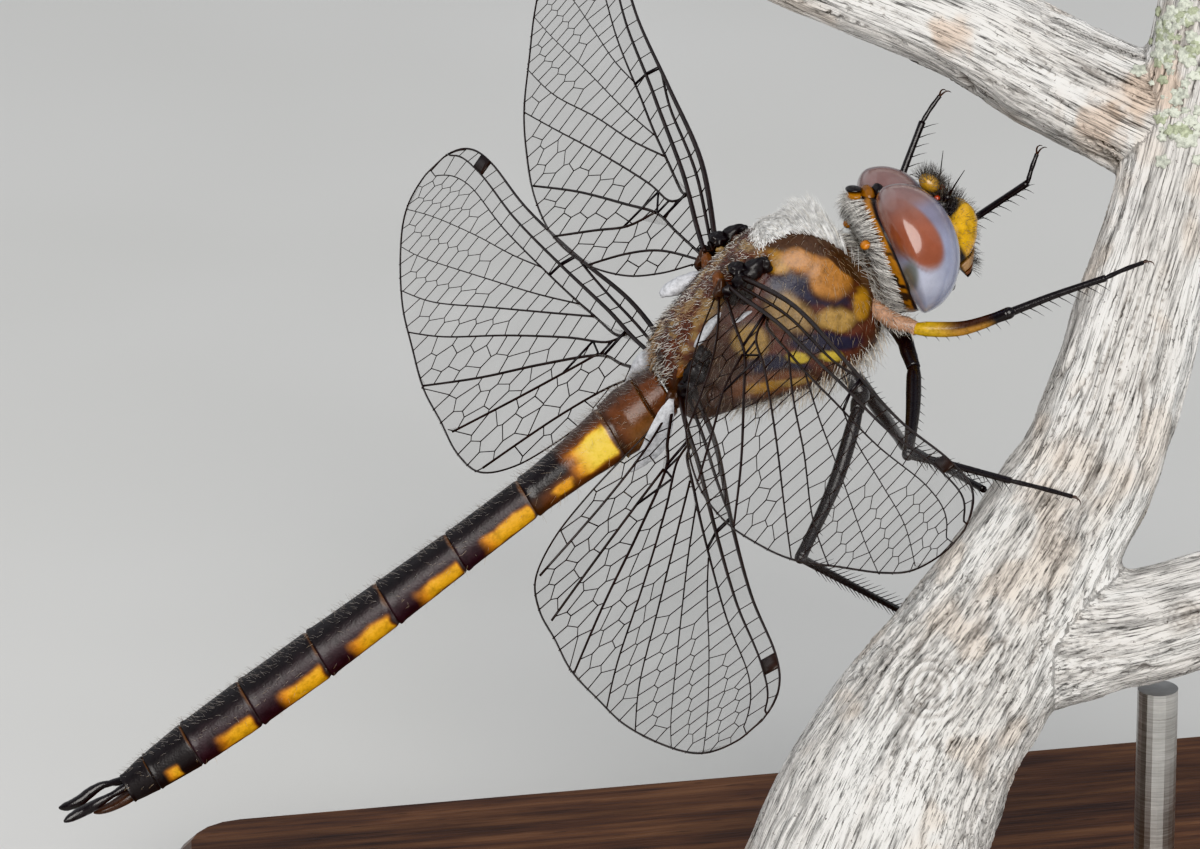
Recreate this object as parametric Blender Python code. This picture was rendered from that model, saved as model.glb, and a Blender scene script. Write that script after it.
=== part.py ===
"""A baskettail dragonfly at life size, gripping a short length of forked limb.

The insect clings head up, with all four wings spread flat and the long
abdomen trailing down and back.  The limb stands on two short rods in a
plain flat base.

World frame: the origin is the middle of the base's underside, +X is the way
the insect heads, +Y is its left and +Z is up.  All lengths below are in
millimetres; add_part() turns them into metres.
"""
import math

import bmesh
import bpy
from mathutils import Matrix, Vector

MM = 0.001
CUT = 0.15                # width of the thin cuts that part the body
TUBE_SIDES = 8            # sides of the thin round pieces

# --- where the insect hangs -------------------------------------------------
THORAX_AT = (-3.0, 2.0, 28.0)     # middle of the thorax, in the world
BODY_RISE = math.radians(29.3)    # the body slopes up towards the head
HEAD_AT = (5.7, 0.0, 0.3)         # middle of the head, in the body's frame
HEAD_TURN = tuple(math.radians(a) for a in (-5.0, -3.0, 4.0))   # roll, pitch, yaw

# --- thorax: x, height of middle, half width, half height ---------------------
THORAX_SHAPE = [
    (-5.3, 0.25, 1.20, 1.30),
    (-4.7, 0.50, 1.65, 2.00),
    (-3.4, 0.62, 2.15, 2.48),
    (-1.8, 0.65, 2.42, 3.00),
    (-0.2, 0.60, 2.50, 3.40),
    (1.3, 0.62, 2.42, 3.60),
    (2.3, 0.70, 2.15, 3.40),
    (2.9, 0.45, 1.75, 2.75),
    (3.3, 0.10, 1.20, 1.90),
]
THORAX_SQUARENESS = 2.6           # 2 is an ellipse, more is boxier
PROTHORAX_SHAPE = [               # the small collar and the neck in front of it
    (3.45, -0.20, 0.95, 1.15),
    (3.58, -0.15, 1.15, 1.35),
    (3.72, -0.05, 1.00, 1.15),
    (3.82, 0.00, 0.65, 0.75),
]

# --- abdomen ------------------------------------------------------------------
ABDOMEN_FRONT = -5.5              # x of the waist, in the body's frame
SEGMENT_LENGTHS = [0.9, 1.7, 4.1, 3.45, 3.3, 3.3, 3.25, 2.8, 1.9, 1.15]
# distance from the waist, half width, half height
ABDOMEN_GIRTH = [
    (0.0, 1.05, 1.05),
    (0.9, 1.30, 1.25),
    (1.8, 1.38, 1.32),
    (2.6, 1.20, 1.20),
    (4.4, 0.98, 1.00),
    (6.7, 0.86, 0.88),
    (10.0, 0.92, 0.90),
    (13.5, 1.04, 0.98),
    (17.0, 1.14, 1.05),
    (20.5, 1.14, 1.03),
    (23.0, 1.02, 0.95),
    (24.8, 0.82, 0.78),
    (25.9, 0.62, 0.60),
]
ABDOMEN_DROOP = (0.28, -3.6, 1.05)   # height of its axis: start, slope and bend over its length
ABDOMEN_SIDES = 14
# place along a segment and how full it is there
SEGMENT_SWELL = ((0.0, 0.93), (0.12, 1.0), (0.5, 1.0), (0.9, 1.02), (1.0, 0.97))
# the tail's pieces, from the end of the last segment: x, y, z, half thickness
CERCUS_PATH = [(-0.1, 0.38, 0.28, 0.25), (-0.9, 0.62, 0.42, 0.26), (-1.8, 0.50, 0.40, 0.28),
               (-2.65, 0.62, 0.50, 0.25)]
EPIPROCT_PATH = [(-0.1, 0.0, -0.30, 0.38), (-0.9, 0.0, -0.28, 0.32), (-1.6, 0.0, -0.12, 0.25)]

# --- wings: half outlines as (span, chord forward of the hinge line) ------------
# hinge in the body's frame, then sweep forward, rise and how far the leading edge tips up
FOREWING_HINGE = (-1.25, 2.2, 3.6)
FOREWING_SET = tuple(math.radians(a) for a in (7.6, 3.4, 16.0))
HINDWING_HINGE = (-5.3, 2.2, 0.5)
HINDWING_SET = tuple(math.radians(a) for a in (-3.2, 1.7, 12.0))
WING_THICK = 0.5
FOREWING_OUTLINE = [
    (-0.5, 0.5), (6.0, 0.9), (13.5, 0.4), (20.4, -0.1), (26.2, -0.15), (29.4, -0.5), (31.0, -1.6),
    (31.1, -2.8), (30.1, -4.1), (28.2, -4.9), (25.1, -5.7), (21.4, -6.6), (17.7, -7.0),
    (14.2, -7.1), (10.3, -6.7), (6.4, -5.6), (3.1, -4.0), (1.0, -2.4), (-0.4, -0.9),
]
HINDWING_OUTLINE = [
    (-0.2, 0.8), (5.5, 0.8), (12.0, 0.2), (18.5, -0.2), (24.0, -0.2), (26.6, -0.6), (27.7, -1.6),
    (27.6, -3.0), (26.4, -4.4), (23.8, -5.6), (20.0, -6.8), (16.4, -7.5), (12.8, -8.1),
    (9.5, -8.3), (6.4, -8.5), (3.7, -8.2), (1.9, -6.9), (0.9, -5.0), (0.3, -2.8), (-0.1, -0.8),
]

# --- head ---------------------------------------------------------------------
EYE_AT = (-0.55, 1.66, 0.41)
EYE_FRONT, EYE_REAR, EYE_SIDE, EYE_TALL = 2.04, 1.12, 1.92, 2.57   # half sizes each way
EYE_REAR_FOOT, EYE_REAR_BEND = 0.45, 1.3   # the rear half thins out downwards
EYE_LEAN = math.radians(12.4)     # the tops lean together
EYE_PITCH = math.radians(19.5)    # and forward
FACE_BACK = 0.85                  # plane between the skull and the face
# height, how far forward the face reaches, half width
FACE_SHAPE = [
    (0.60, 1.90, 0.75), (0.38, 2.33, 1.10), (0.00, 2.58, 1.35), (-0.40, 2.63, 1.46),
    (-0.80, 2.53, 1.48), (-1.20, 2.24, 1.44), (-1.50, 1.92, 1.38), (-1.75, 1.70, 1.30),
    (-1.98, 1.48, 1.20), (-2.20, 1.30, 1.05), (-2.36, 1.15, 0.85), (-2.55, 1.05, 0.55),
]
FACE_CUTS = {"frons": (-1.45, 0.60), "clypeus": (-1.90, -1.55), "labrum": (-2.22, -1.98),
             "mandibles": (-2.55, -2.30)}
SKULL_SHAPE = [                   # as the thorax: x, height of middle, half width, half height
    (-1.70, 0.05, 1.85, 2.05), (-1.55, 0.05, 2.42, 2.45), (-1.18, 0.00, 2.77, 2.65),
    (-0.50, -0.18, 2.86, 2.48), (0.25, -0.30, 2.60, 2.20), (0.70, -0.72, 2.05, 1.75),
]
SKULL_PITCH = math.radians(11.0)  # the back of the head leans forward at the top
VERTEX_AT, VERTEX_SIZE = (1.75, 0.0, 1.45), (0.37, 0.50, 0.48)
ANTENNA_PATH = [(2.0, 0.80, 0.85, 0.25), (2.5, 1.15, 1.20, 0.25), (3.0, 1.60, 1.60, 0.25)]

# --- legs: hip, trochanter, knee, ankle and toe in the body's frame ----------------
LEGS = {
    "fore_right": [(3.0, -1.8, -1.4), (4.0, -2.5, -1.85), (7.3, -4.1, -2.6), (11.2, -3.2, -3.9),
                   (13.0, -2.6, -4.5)],
    "mid_right": [(2.7, -1.5, -2.9), (3.0, -2.9, -3.2), (1.15, -6.6, -4.3), (4.0, -6.0, -7.8),
                  (5.9, -5.9, -10.0)],
    "hind_right": [(0.9, -1.5, -3.4), (0.4, -2.4, -3.6), (-4.4, -5.9, -6.0), (-2.1, -0.7, -12.9),
                   (-1.1, 0.3, -15.4)],
    "fore_left": [(3.0, 1.8, -1.4), (3.75, 2.55, -1.65), (5.5, 5.0, -0.6), (8.55, 6.7, 1.3),
                  (9.9, 7.1, 1.8)],
    "mid_left": [(2.7, 1.5, -2.9), (3.4, 2.5, -3.2), (6.2, 6.0, -3.3), (10.8, 4.5, -2.3),
                 (11.9, 4.8, -1.4)],
    "hind_left": [(0.9, 1.5, -3.4), (1.1, 2.3, -4.2), (1.4, 5.65, -9.8), (3.1, 0.8, -10.9),
                  (3.9, 0.4, -12.8)],
}
FEMUR_BOW = {"fore": 0.35, "mid": 0.15, "hind": 0.30}   # how far the middle hangs below straight
# half thickness at the trochanter, mid femur and knee
FEMUR_GIRTH = {"fore": (0.36, 0.36, 0.28), "mid": (0.38, 0.38, 0.28), "hind": (0.42, 0.42, 0.30)}
HIP_GIRTH = 0.55
SHIN_GIRTH = 0.25                 # tibia and tarsus are the thinnest solids
KNEE_GAP = 0.5                    # a tibia starts this far from the middle of its knee

# --- perch: points on each limb's axis in the world, with its half thickness --------
MAIN_LIMB = [
    (-4.4, -7.2, 3.0, 4.6), (-1.6, -5.3, 8.2, 4.7), (0.7, -3.7, 12.0, 4.2), (3.0, -2.7, 14.7, 3.8),
    (4.9, -1.9, 17.1, 3.45), (6.9, -1.1, 19.9, 3.1), (8.7, -0.25, 22.6, 2.85),
    (11.0, 1.7, 27.9, 2.6), (13.1, 3.6, 33.3, 2.45), (15.1, 6.1, 39.7, 2.3),
]
UPPER_LIMB = [
    (-2.3, 13.1, 39.9, 2.1), (2.3, 11.2, 38.2, 2.2), (6.1, 9.4, 36.7, 2.3), (9.2, 7.4, 35.2, 2.5),
    (13.0, 4.3, 33.7, 2.6),
]
SIDE_STUB = [(5.6, -2.3, 15.6, 3.1), (8.0, -2.8, 15.9, 2.6), (10.2, -3.2, 16.3, 2.4),
             (13.5, -3.5, 17.2, 2.25)]
PERCH_CUT = 8.0                   # height of the main limb's level sawn foot
BARK_WAVE = 0.06                  # how far ridges swell the limb, as a share of its radius
RIDGES, RIDGE_DRIFT = 5, 1.3      # ridges round a limb, and how far they wind from ring to ring
LIMB_SIDES = 16

# --- display stand ------------------------------------------------------------
BASE_SIZE = (52.0, 27.0, 4.0)
BASE_CORNER, BASE_CHAMFER = 3.0, 0.6
CORNER_STEPS = 5
# place on the base, half thickness, height of the top
RODS = {"main": (-1.9, -5.2, 1.5, PERCH_CUT - CUT), "prop": (10.6, -3.25, 0.8, 13.6)}
COLLAR_WIDER, COLLAR_HIGH, COLLAR_BEVEL = 0.8, 0.9, 0.26
ROD_SIDES = 20

COLOURS = {                       # base colour, roughness, metallic
    "eye": ((0.42, 0.16, 0.11), 0.15, 0.0),
    "yellow": ((0.75, 0.42, 0.05), 0.30, 0.0),
    "black": ((0.015, 0.012, 0.014), 0.25, 0.0),
    "brown": ((0.20, 0.08, 0.03), 0.35, 0.0),
    "orange": ((0.45, 0.20, 0.04), 0.35, 0.0),
    "fur": ((0.45, 0.42, 0.38), 0.90, 0.0),
    "wing": ((0.30, 0.27, 0.23), 0.20, 0.0),
    "bark": ((0.48, 0.45, 0.42), 0.85, 0.0),
    "base": ((0.05, 0.03, 0.02), 0.40, 0.0),
    "steel": ((0.60, 0.60, 0.58), 0.30, 1.0),
}


# --- building blocks ------------------------------------------------------------
def clear_scene():
    for old in list(bpy.data.objects):
        bpy.data.objects.remove(old, do_unlink=True)


def make_material(name, colour_name):
    colour, roughness, metallic = COLOURS[colour_name]
    material = bpy.data.materials.new(name)
    material.use_nodes = True
    shader = material.node_tree.nodes["Principled BSDF"]
    shader.inputs["Base Color"].default_value = (*colour, 1.0)
    shader.inputs["Roughness"].default_value = roughness
    shader.inputs["Metallic"].default_value = metallic
    return material


def add_frame(name, location, rotation=(0.0, 0.0, 0.0), parent=None):
    """An empty that carries the pieces set out in its frame."""
    frame = bpy.data.objects.new(name, None)
    frame.location = Vector(location) * MM
    frame.rotation_euler = rotation
    frame.parent = parent
    bpy.context.scene.collection.objects.link(frame)
    return frame


def add_part(name, bm, colour_name, parent=None, matrix=None):
    """Turns a bmesh in millimetres into one object of its own material."""
    bmesh.ops.recalc_face_normals(bm, faces=bm.faces)
    bmesh.ops.scale(bm, vec=(MM, MM, MM), verts=bm.verts)
    mesh = bpy.data.meshes.new(name)
    bm.to_mesh(mesh)
    bm.free()
    mesh.materials.append(make_material(name, colour_name))
    mesh.shade_smooth()
    mesh.set_sharp_from_angle(angle=math.radians(40.0))
    part = bpy.data.objects.new(name, mesh)
    part.parent = parent
    if matrix is not None:
        scaled = matrix.copy()
        scaled.translation = matrix.translation * MM
        part.matrix_local = scaled
    bpy.context.scene.collection.objects.link(part)
    return part


def cut_with(part, cutter):
    """Takes the cutter's shape out of the part."""
    cut = part.modifiers.new("cut_" + cutter.name, "BOOLEAN")
    cut.operation = "DIFFERENCE"
    cut.object = cutter


def make_cutter(part):
    part.hide_render = True
    part.display_type = "WIRE"
    return part


def skin_rings(rings):
    """Joins equal rings of points into one closed solid."""
    bm = bmesh.new()
    loops = [[bm.verts.new(point) for point in ring] for ring in rings]
    count = len(loops[0])
    for near, far in zip(loops, loops[1:]):
        for i in range(count):
            j = (i + 1) % count
            bm.faces.new((near[i], near[j], far[j], far[i]))
    bm.faces.new(reversed(loops[0]))
    bm.faces.new(loops[-1])
    return bm


def read_table(table, x):
    """Reads a table of rows (x, values...) at x, straight between its rows."""
    if x <= table[0][0]:
        return list(table[0][1:])
    for low, high in zip(table, table[1:]):
        if x <= high[0]:
            t = (x - low[0]) / (high[0] - low[0])
            return [a + (b - a) * t for a, b in zip(low[1:], high[1:])]
    return list(table[-1][1:])


def squared_circle(angle, squareness):
    """A point on a unit ellipse whose corners fill out as squareness grows."""
    c, s = math.cos(angle), math.sin(angle)
    power = 2.0 / squareness
    return math.copysign(abs(c) ** power, c), math.copysign(abs(s) ** power, s)


def body_ring(x, middle, half_width, half_height, sides, squareness=2.0):
    """A ring round the body's long axis at x."""
    ring = []
    for i in range(sides):
        across, up = squared_circle(2.0 * math.pi * i / sides, squareness)
        ring.append(Vector((x, across * half_width, middle + up * half_height)))
    return ring


def curve_through(points, steps):
    """A Catmull-Rom curve through points of any size, ends included."""
    rows = [Vector(p) for p in points]
    out = []
    for i in range(len(rows) - 1):
        before, start = rows[max(i - 1, 0)], rows[i]
        end, after = rows[i + 1], rows[min(i + 2, len(rows) - 1)]
        for k in range(steps):
            t = k / steps
            out.append(0.5 * (2.0 * start + (end - before) * t
                              + (2.0 * before - 5.0 * start + 4.0 * end - after) * t ** 2
                              + (3.0 * start - before - 3.0 * end + after) * t ** 3))
    out.append(rows[-1])
    return out


def tube(points, radii, sides, wave=0.0):
    """A tube along points, its frame carried along without twist, with ridges of the given wave."""
    centres = [Vector(p) for p in points]
    tangents = []
    for i in range(len(centres)):
        ahead = centres[min(i + 1, len(centres) - 1)] - centres[max(i - 1, 0)]
        tangents.append(ahead.normalized())
    side = tangents[0].orthogonal().normalized()
    rings = []
    for i, (centre, along, radius) in enumerate(zip(centres, tangents, radii)):
        side = (side - along * side.dot(along)).normalized()
        other = along.cross(side)
        ring = []
        for k in range(sides):
            angle = 2.0 * math.pi * k / sides
            swell = 1.0 + wave * math.cos(RIDGES * angle + RIDGE_DRIFT * i)
            ring.append(centre + (side * math.cos(angle) + other * math.sin(angle)) * radius * swell)
        rings.append(ring)
    return skin_rings(rings)


def thick_curve(rows, steps, sides, extra=0.0, wave=0.0):
    """A tube through rows of (x, y, z, half thickness), widened by extra."""
    path = curve_through(rows, steps)
    return tube([row[:3] for row in path], [row[3] + extra for row in path], sides, wave)


def ball(size, rings, sides):
    """An ellipsoid with the given half sizes, about the origin."""
    bm = bmesh.new()
    bmesh.ops.create_uvsphere(bm, u_segments=sides, v_segments=rings, radius=1.0)
    bmesh.ops.scale(bm, vec=size, verts=bm.verts)
    return bm


def keep_side(bm, point, normal):
    """Cuts a closed solid by a plane, keeps what the normal points at and closes it."""
    geometry = bm.verts[:] + bm.edges[:] + bm.faces[:]
    cut = bmesh.ops.bisect_plane(bm, geom=geometry, dist=1e-6, plane_co=point, plane_no=normal,
                                 clear_inner=True)
    rim = [item for item in cut["geom_cut"] if isinstance(item, bmesh.types.BMEdge)]
    bmesh.ops.contextual_create(bm, geom=rim)
    return bm


# --- the insect -------------------------------------------------------------------
def build_thorax(body):
    rings = [body_ring(x, z, w, h, 20, THORAX_SQUARENESS) for x, z, w, h in THORAX_SHAPE]
    add_part("thorax", skin_rings(rings), "orange", body)
    rings = [body_ring(x, z, w, h, 14) for x, z, w, h in PROTHORAX_SHAPE]
    add_part("prothorax", skin_rings(rings), "fur", body)


def abdomen_middle(distance):
    """Height of the abdomen's axis: it droops behind the waist, then levels out."""
    t = distance / sum(SEGMENT_LENGTHS)
    start, slope, bend = ABDOMEN_DROOP
    return start + slope * t + bend * t * t


def build_abdomen(body):
    """Ten segments, each a short barrel that is fullest just before its rear rim."""
    start = 0.0
    for number, length in enumerate(SEGMENT_LENGTHS, start=1):
        rings = []
        for share, swell in SEGMENT_SWELL:
            distance = start + CUT / 2 + (length - CUT) * share
            half_width, half_height = read_table(ABDOMEN_GIRTH, distance)
            rings.append(body_ring(ABDOMEN_FRONT - distance, abdomen_middle(distance),
                                   half_width * swell, half_height * swell, ABDOMEN_SIDES))
        colour = "brown" if number <= 3 else "black"
        add_part("abdomen_%02d" % number, skin_rings(rings), colour, body)
        start += length
    build_tail(body, ABDOMEN_FRONT - start, abdomen_middle(start))


def build_tail(body, x, z):
    """The two long claspers above and the short plate below the last segment."""
    for name, side in (("cercus_right", -1.0), ("cercus_left", 1.0)):
        rows = [(x + ahead, side * out, z + up, r) for ahead, out, up, r in CERCUS_PATH]
        add_part(name, thick_curve(rows, 2, TUBE_SIDES), "black", body)
    rows = [(x + ahead, out, z + up, r) for ahead, out, up, r in EPIPROCT_PATH]
    add_part("epiproct", thick_curve(rows, 1, TUBE_SIDES), "black", body)


def wing_matrix(hinge, side, sweep, rise, pitch):
    """Local X points forward along the chord and local Y out along the span."""
    span = Vector((math.sin(sweep) * math.cos(rise), side * math.cos(sweep) * math.cos(rise),
                   math.sin(rise)))
    forward = Vector((1.0, 0.0, 0.0))
    forward = (forward - span * forward.dot(span)).normalized()
    normal = forward.cross(span) * side
    chord = forward * math.cos(pitch) + normal * math.sin(pitch)
    matrix = Matrix((chord, span, chord.cross(span))).transposed().to_4x4()
    matrix.translation = Vector((hinge[0], side * hinge[1], hinge[2]))
    return matrix


def build_wings(body):
    """Each wing is a flat plate with the true outline."""
    pairs = (("forewing", FOREWING_HINGE, FOREWING_SET, FOREWING_OUTLINE),
             ("hindwing", HINDWING_HINGE, HINDWING_SET, HINDWING_OUTLINE))
    for name, hinge, setting, outline in pairs:
        edge = curve_through(outline + outline[:1], 2)[:-1]
        for suffix, side in (("_right", -1.0), ("_left", 1.0)):
            faces = [[Vector((chord, span, z)) for span, chord in edge]
                     for z in (-WING_THICK / 2, WING_THICK / 2)]
            add_part(name + suffix, skin_rings(faces), "wing", body,
                     wing_matrix(hinge, side, *setting))


def build_legs(body):
    """Each leg is a hip with its femur, then a tibia, then a tarsus."""
    for name, (hip, trochanter, knee, ankle, toe) in LEGS.items():
        pair = name.split("_")[0]
        at_hip, middle, at_knee = FEMUR_GIRTH[pair]
        hip, trochanter, knee, ankle, toe = (Vector(p) for p in (hip, trochanter, knee, ankle, toe))
        start = trochanter.lerp(knee, 0.06)
        colour = "yellow" if pair == "fore" else "black"
        belly = trochanter.lerp(knee, 0.45) - Vector((0.0, 0.0, FEMUR_BOW[pair]))
        path = [hip, trochanter, start, belly, shorten(knee, trochanter, 0.1)]
        add_part("leg_%s_femur" % name,
                 tube(path, [HIP_GIRTH, HIP_GIRTH * 0.85, at_hip, middle, at_knee], TUBE_SIDES),
                 colour, body)
        shin = [shorten(knee, ankle, KNEE_GAP), knee.lerp(ankle, 0.5), shorten(ankle, knee, CUT)]
        add_part("leg_%s_tibia" % name, tube(shin, [SHIN_GIRTH * 1.1] + [SHIN_GIRTH] * 2, TUBE_SIDES),
                 "black", body)
        foot = [shorten(ankle, toe, CUT), ankle.lerp(toe, 0.6), toe]
        add_part("leg_%s_tarsus" % name, tube(foot, [SHIN_GIRTH] * 3, TUBE_SIDES), "black", body)


def shorten(end, other, gap):
    """The point a small gap back from the end of a limb, towards its other end."""
    return end + (other - end).normalized() * gap


# --- the head ----------------------------------------------------------------------
def eye_matrix(side):
    matrix = Matrix.Rotation(EYE_PITCH, 4, "Y") @ Matrix.Rotation(side * EYE_LEAN, 4, "X")
    matrix.translation = Vector((EYE_AT[0], side * EYE_AT[1], EYE_AT[2]))
    return matrix


def eye_dome(extra=0.0):
    """An eye about its own middle: full in front, flatter behind and thinnest at its foot."""
    bm = ball((1.0, EYE_SIDE, EYE_TALL), rings=12, sides=18)
    for vert in bm.verts:
        height = 0.5 + 0.5 * max(-1.0, vert.co.z / EYE_TALL)
        rear = EYE_REAR_FOOT + (EYE_REAR - EYE_REAR_FOOT) * height ** EYE_REAR_BEND
        vert.co.x *= (EYE_FRONT if vert.co.x > 0.0 else rear) + extra
        vert.co.y *= 1.0 + extra / EYE_SIDE
        vert.co.z *= 1.0 + extra / EYE_TALL
    return bm


def build_eyes(head):
    """Two big domes that meet along a short seam on top, and their sockets' cutters."""
    sockets = []
    for name, side in (("eye_right", -1.0), ("eye_left", 1.0)):
        bm = eye_dome()
        bmesh.ops.transform(bm, matrix=eye_matrix(side), verts=bm.verts)
        keep_side(bm, (0.0, side * CUT / 2, 0.0), (0.0, side, 0.0))
        add_part(name, bm, "eye", head)
        bm = eye_dome(CUT)
        bmesh.ops.transform(bm, matrix=eye_matrix(side), verts=bm.verts)
        sockets.append(make_cutter(add_part("socket" + name[3:], bm, "eye", head)))
    return sockets


def face_ring(height):
    reach, half_width = read_table([(-z, x, w) for z, x, w in FACE_SHAPE], -height)
    ring = [Vector((FACE_BACK, half_width, height))]
    for i in range(1, 10):
        angle = math.pi * i / 10
        ring.append(Vector((FACE_BACK + (reach - FACE_BACK) * math.sin(angle),
                            half_width * math.cos(angle), height)))
    ring.append(Vector((FACE_BACK, -half_width, height)))
    return ring


def build_face(head, sockets):
    """Frons, clypeus, labrum and jaws: one rounded profile parted by level cuts."""
    for name, (low, high) in FACE_CUTS.items():
        steps = 5 if name == "frons" else 3
        rings = [face_ring(low + (high - low) * k / steps) for k in range(steps + 1)]
        colour = "yellow" if name == "frons" else "brown"
        piece = add_part(name, skin_rings(rings), colour, head)
        for socket in sockets:
            cut_with(piece, socket)


def build_head(body):
    head = add_frame("head_frame", HEAD_AT, HEAD_TURN, body)
    sockets = build_eyes(head)
    rings = [body_ring(x, z, w, h, 24) for x, z, w, h in SKULL_SHAPE]
    bm = skin_rings(rings)
    bmesh.ops.transform(bm, matrix=Matrix.Rotation(SKULL_PITCH, 4, "Y"), verts=bm.verts)
    skull = add_part("head_capsule", bm, "orange", head)
    for socket in sockets:
        cut_with(skull, socket)
    build_face(head, sockets)
    bm = ball(VERTEX_SIZE, rings=8, sides=12)
    bmesh.ops.translate(bm, vec=VERTEX_AT, verts=bm.verts)
    vertex = add_part("vertex", bm, "yellow", head)
    for socket in sockets:
        cut_with(vertex, socket)
    for name, side in (("antenna_right", -1.0), ("antenna_left", 1.0)):
        rows = [(x, side * out, z, r) for x, out, z, r in ANTENNA_PATH]
        add_part(name, thick_curve(rows, 1, TUBE_SIDES), "black", head)


# --- perch and stand ----------------------------------------------------------------
def limb(rows, extra=0.0):
    return thick_curve(rows, 2, LIMB_SIDES, extra, BARK_WAVE)


def build_perch():
    """The leaning main limb, the limb that forks off behind it, and a side stub."""
    bm = limb(MAIN_LIMB)
    keep_side(bm, (0.0, 0.0, PERCH_CUT), (0.0, 0.0, 1.0))
    add_part("perch_main", bm, "bark")
    cutter = make_cutter(add_part("perch_socket", limb(MAIN_LIMB, CUT), "bark"))
    for name, rows in (("perch_upper", UPPER_LIMB), ("perch_stub", SIDE_STUB)):
        cut_with(add_part(name, limb(rows), "bark"), cutter)


def rounded_outline(length, width, corner):
    """A rectangle with rounded corners, anticlockwise, about the origin."""
    outline = []
    for turn, (sx, sy) in enumerate(((1, 1), (-1, 1), (-1, -1), (1, -1))):
        for k in range(CORNER_STEPS + 1):
            angle = math.pi / 2 * (turn + k / CORNER_STEPS)
            outline.append((sx * (length / 2 - corner) + corner * math.cos(angle),
                            sy * (width / 2 - corner) + corner * math.sin(angle)))
    return outline


def build_stand():
    length, width, height = BASE_SIZE
    rings = []
    for z, inset in ((0.0, 0.0), (height - BASE_CHAMFER, 0.0), (height, BASE_CHAMFER)):
        outline = rounded_outline(length - 2 * inset, width - 2 * inset, BASE_CORNER - inset)
        rings.append([Vector((x, y, z)) for x, y in outline])
    add_part("stand_base", skin_rings(rings), "base")
    for name, (x, y, radius, top) in RODS.items():
        foot = height + CUT
        rod = [(x, y, foot), (x, y, top)]
        add_part("stand_rod_" + name, tube(rod, [radius] * 2, ROD_SIDES), "steel")
        collar = turned_ring(x, y, foot, radius + CUT, radius + CUT + COLLAR_WIDER, COLLAR_HIGH)
        add_part("stand_collar_" + name, collar, "steel")


def turned_ring(x, y, z, inner, outer, height):
    """A flat collar round a rod."""
    profile = [(inner, 0.0), (outer, 0.0), (outer, height - COLLAR_BEVEL),
               (outer - COLLAR_BEVEL, height), (inner, height)]
    bm = bmesh.new()
    loops = []
    for k in range(ROD_SIDES):
        angle = 2.0 * math.pi * k / ROD_SIDES
        loops.append([bm.verts.new((x + r * math.cos(angle), y + r * math.sin(angle), z + h))
                      for r, h in profile])
    for k, near in enumerate(loops):
        far = loops[(k + 1) % ROD_SIDES]
        for i in range(len(profile)):
            j = (i + 1) % len(profile)
            bm.faces.new((near[i], near[j], far[j], far[i]))
    return bm


def main():
    clear_scene()
    body = add_frame("body_frame", THORAX_AT, (0.0, -BODY_RISE, 0.0))
    build_thorax(body)
    build_abdomen(body)
    build_wings(body)
    build_legs(body)
    build_head(body)
    build_perch()
    build_stand()


main()
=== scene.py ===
"""The looks of a life-size baskettail dragonfly that grips a forked limb.

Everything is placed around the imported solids.  The insect is set out in its
body's frame: +X towards the head, +Y to its left, +Z towards its back.  The
head and each wing have a frame of their own.  Lengths are in millimetres
until add_piece() puts them into the world in metres.
"""
import math

import bmesh
import bpy
import numpy as np
from mathutils import Euler, Matrix, Vector


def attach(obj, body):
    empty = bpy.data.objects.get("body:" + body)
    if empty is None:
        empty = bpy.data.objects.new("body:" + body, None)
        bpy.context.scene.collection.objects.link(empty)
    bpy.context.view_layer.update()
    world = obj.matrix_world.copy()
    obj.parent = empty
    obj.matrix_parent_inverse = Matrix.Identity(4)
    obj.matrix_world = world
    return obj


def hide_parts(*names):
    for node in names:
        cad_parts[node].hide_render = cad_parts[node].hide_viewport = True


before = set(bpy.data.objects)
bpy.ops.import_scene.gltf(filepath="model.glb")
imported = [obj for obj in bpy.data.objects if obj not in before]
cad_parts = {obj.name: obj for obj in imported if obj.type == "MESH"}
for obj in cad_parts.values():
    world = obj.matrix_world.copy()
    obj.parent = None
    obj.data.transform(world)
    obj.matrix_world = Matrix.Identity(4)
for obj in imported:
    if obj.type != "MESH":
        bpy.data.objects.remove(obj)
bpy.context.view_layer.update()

MM = 0.001
SEED = 7

# --- the frames, as the solids have them ------------------------------------------
THORAX_AT = (-3.0, 2.0, 28.0)
BODY_RISE = math.radians(29.3)
HEAD_AT = (5.7, 0.0, 0.3)
HEAD_TURN = tuple(math.radians(a) for a in (-5.0, -3.0, 4.0))
WORLD = Matrix.Identity(4)
BODY = Matrix.Translation(THORAX_AT) @ Euler((0.0, -BODY_RISE, 0.0)).to_matrix().to_4x4()
HEAD = BODY @ Matrix.Translation(HEAD_AT) @ Euler(HEAD_TURN).to_matrix().to_4x4()

# --- camera -----------------------------------------------------------------------
VIEW_TURN, VIEW_RISE = math.radians(-11.9), math.radians(21.8)
VIEW_DISTANCE = 350.0
VIEW_TARGET = (-10.49, 2.07, 24.32)
VIEW_WIDTH = 46.33                # what the picture spans at the target
SENSOR = 36.0

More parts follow.
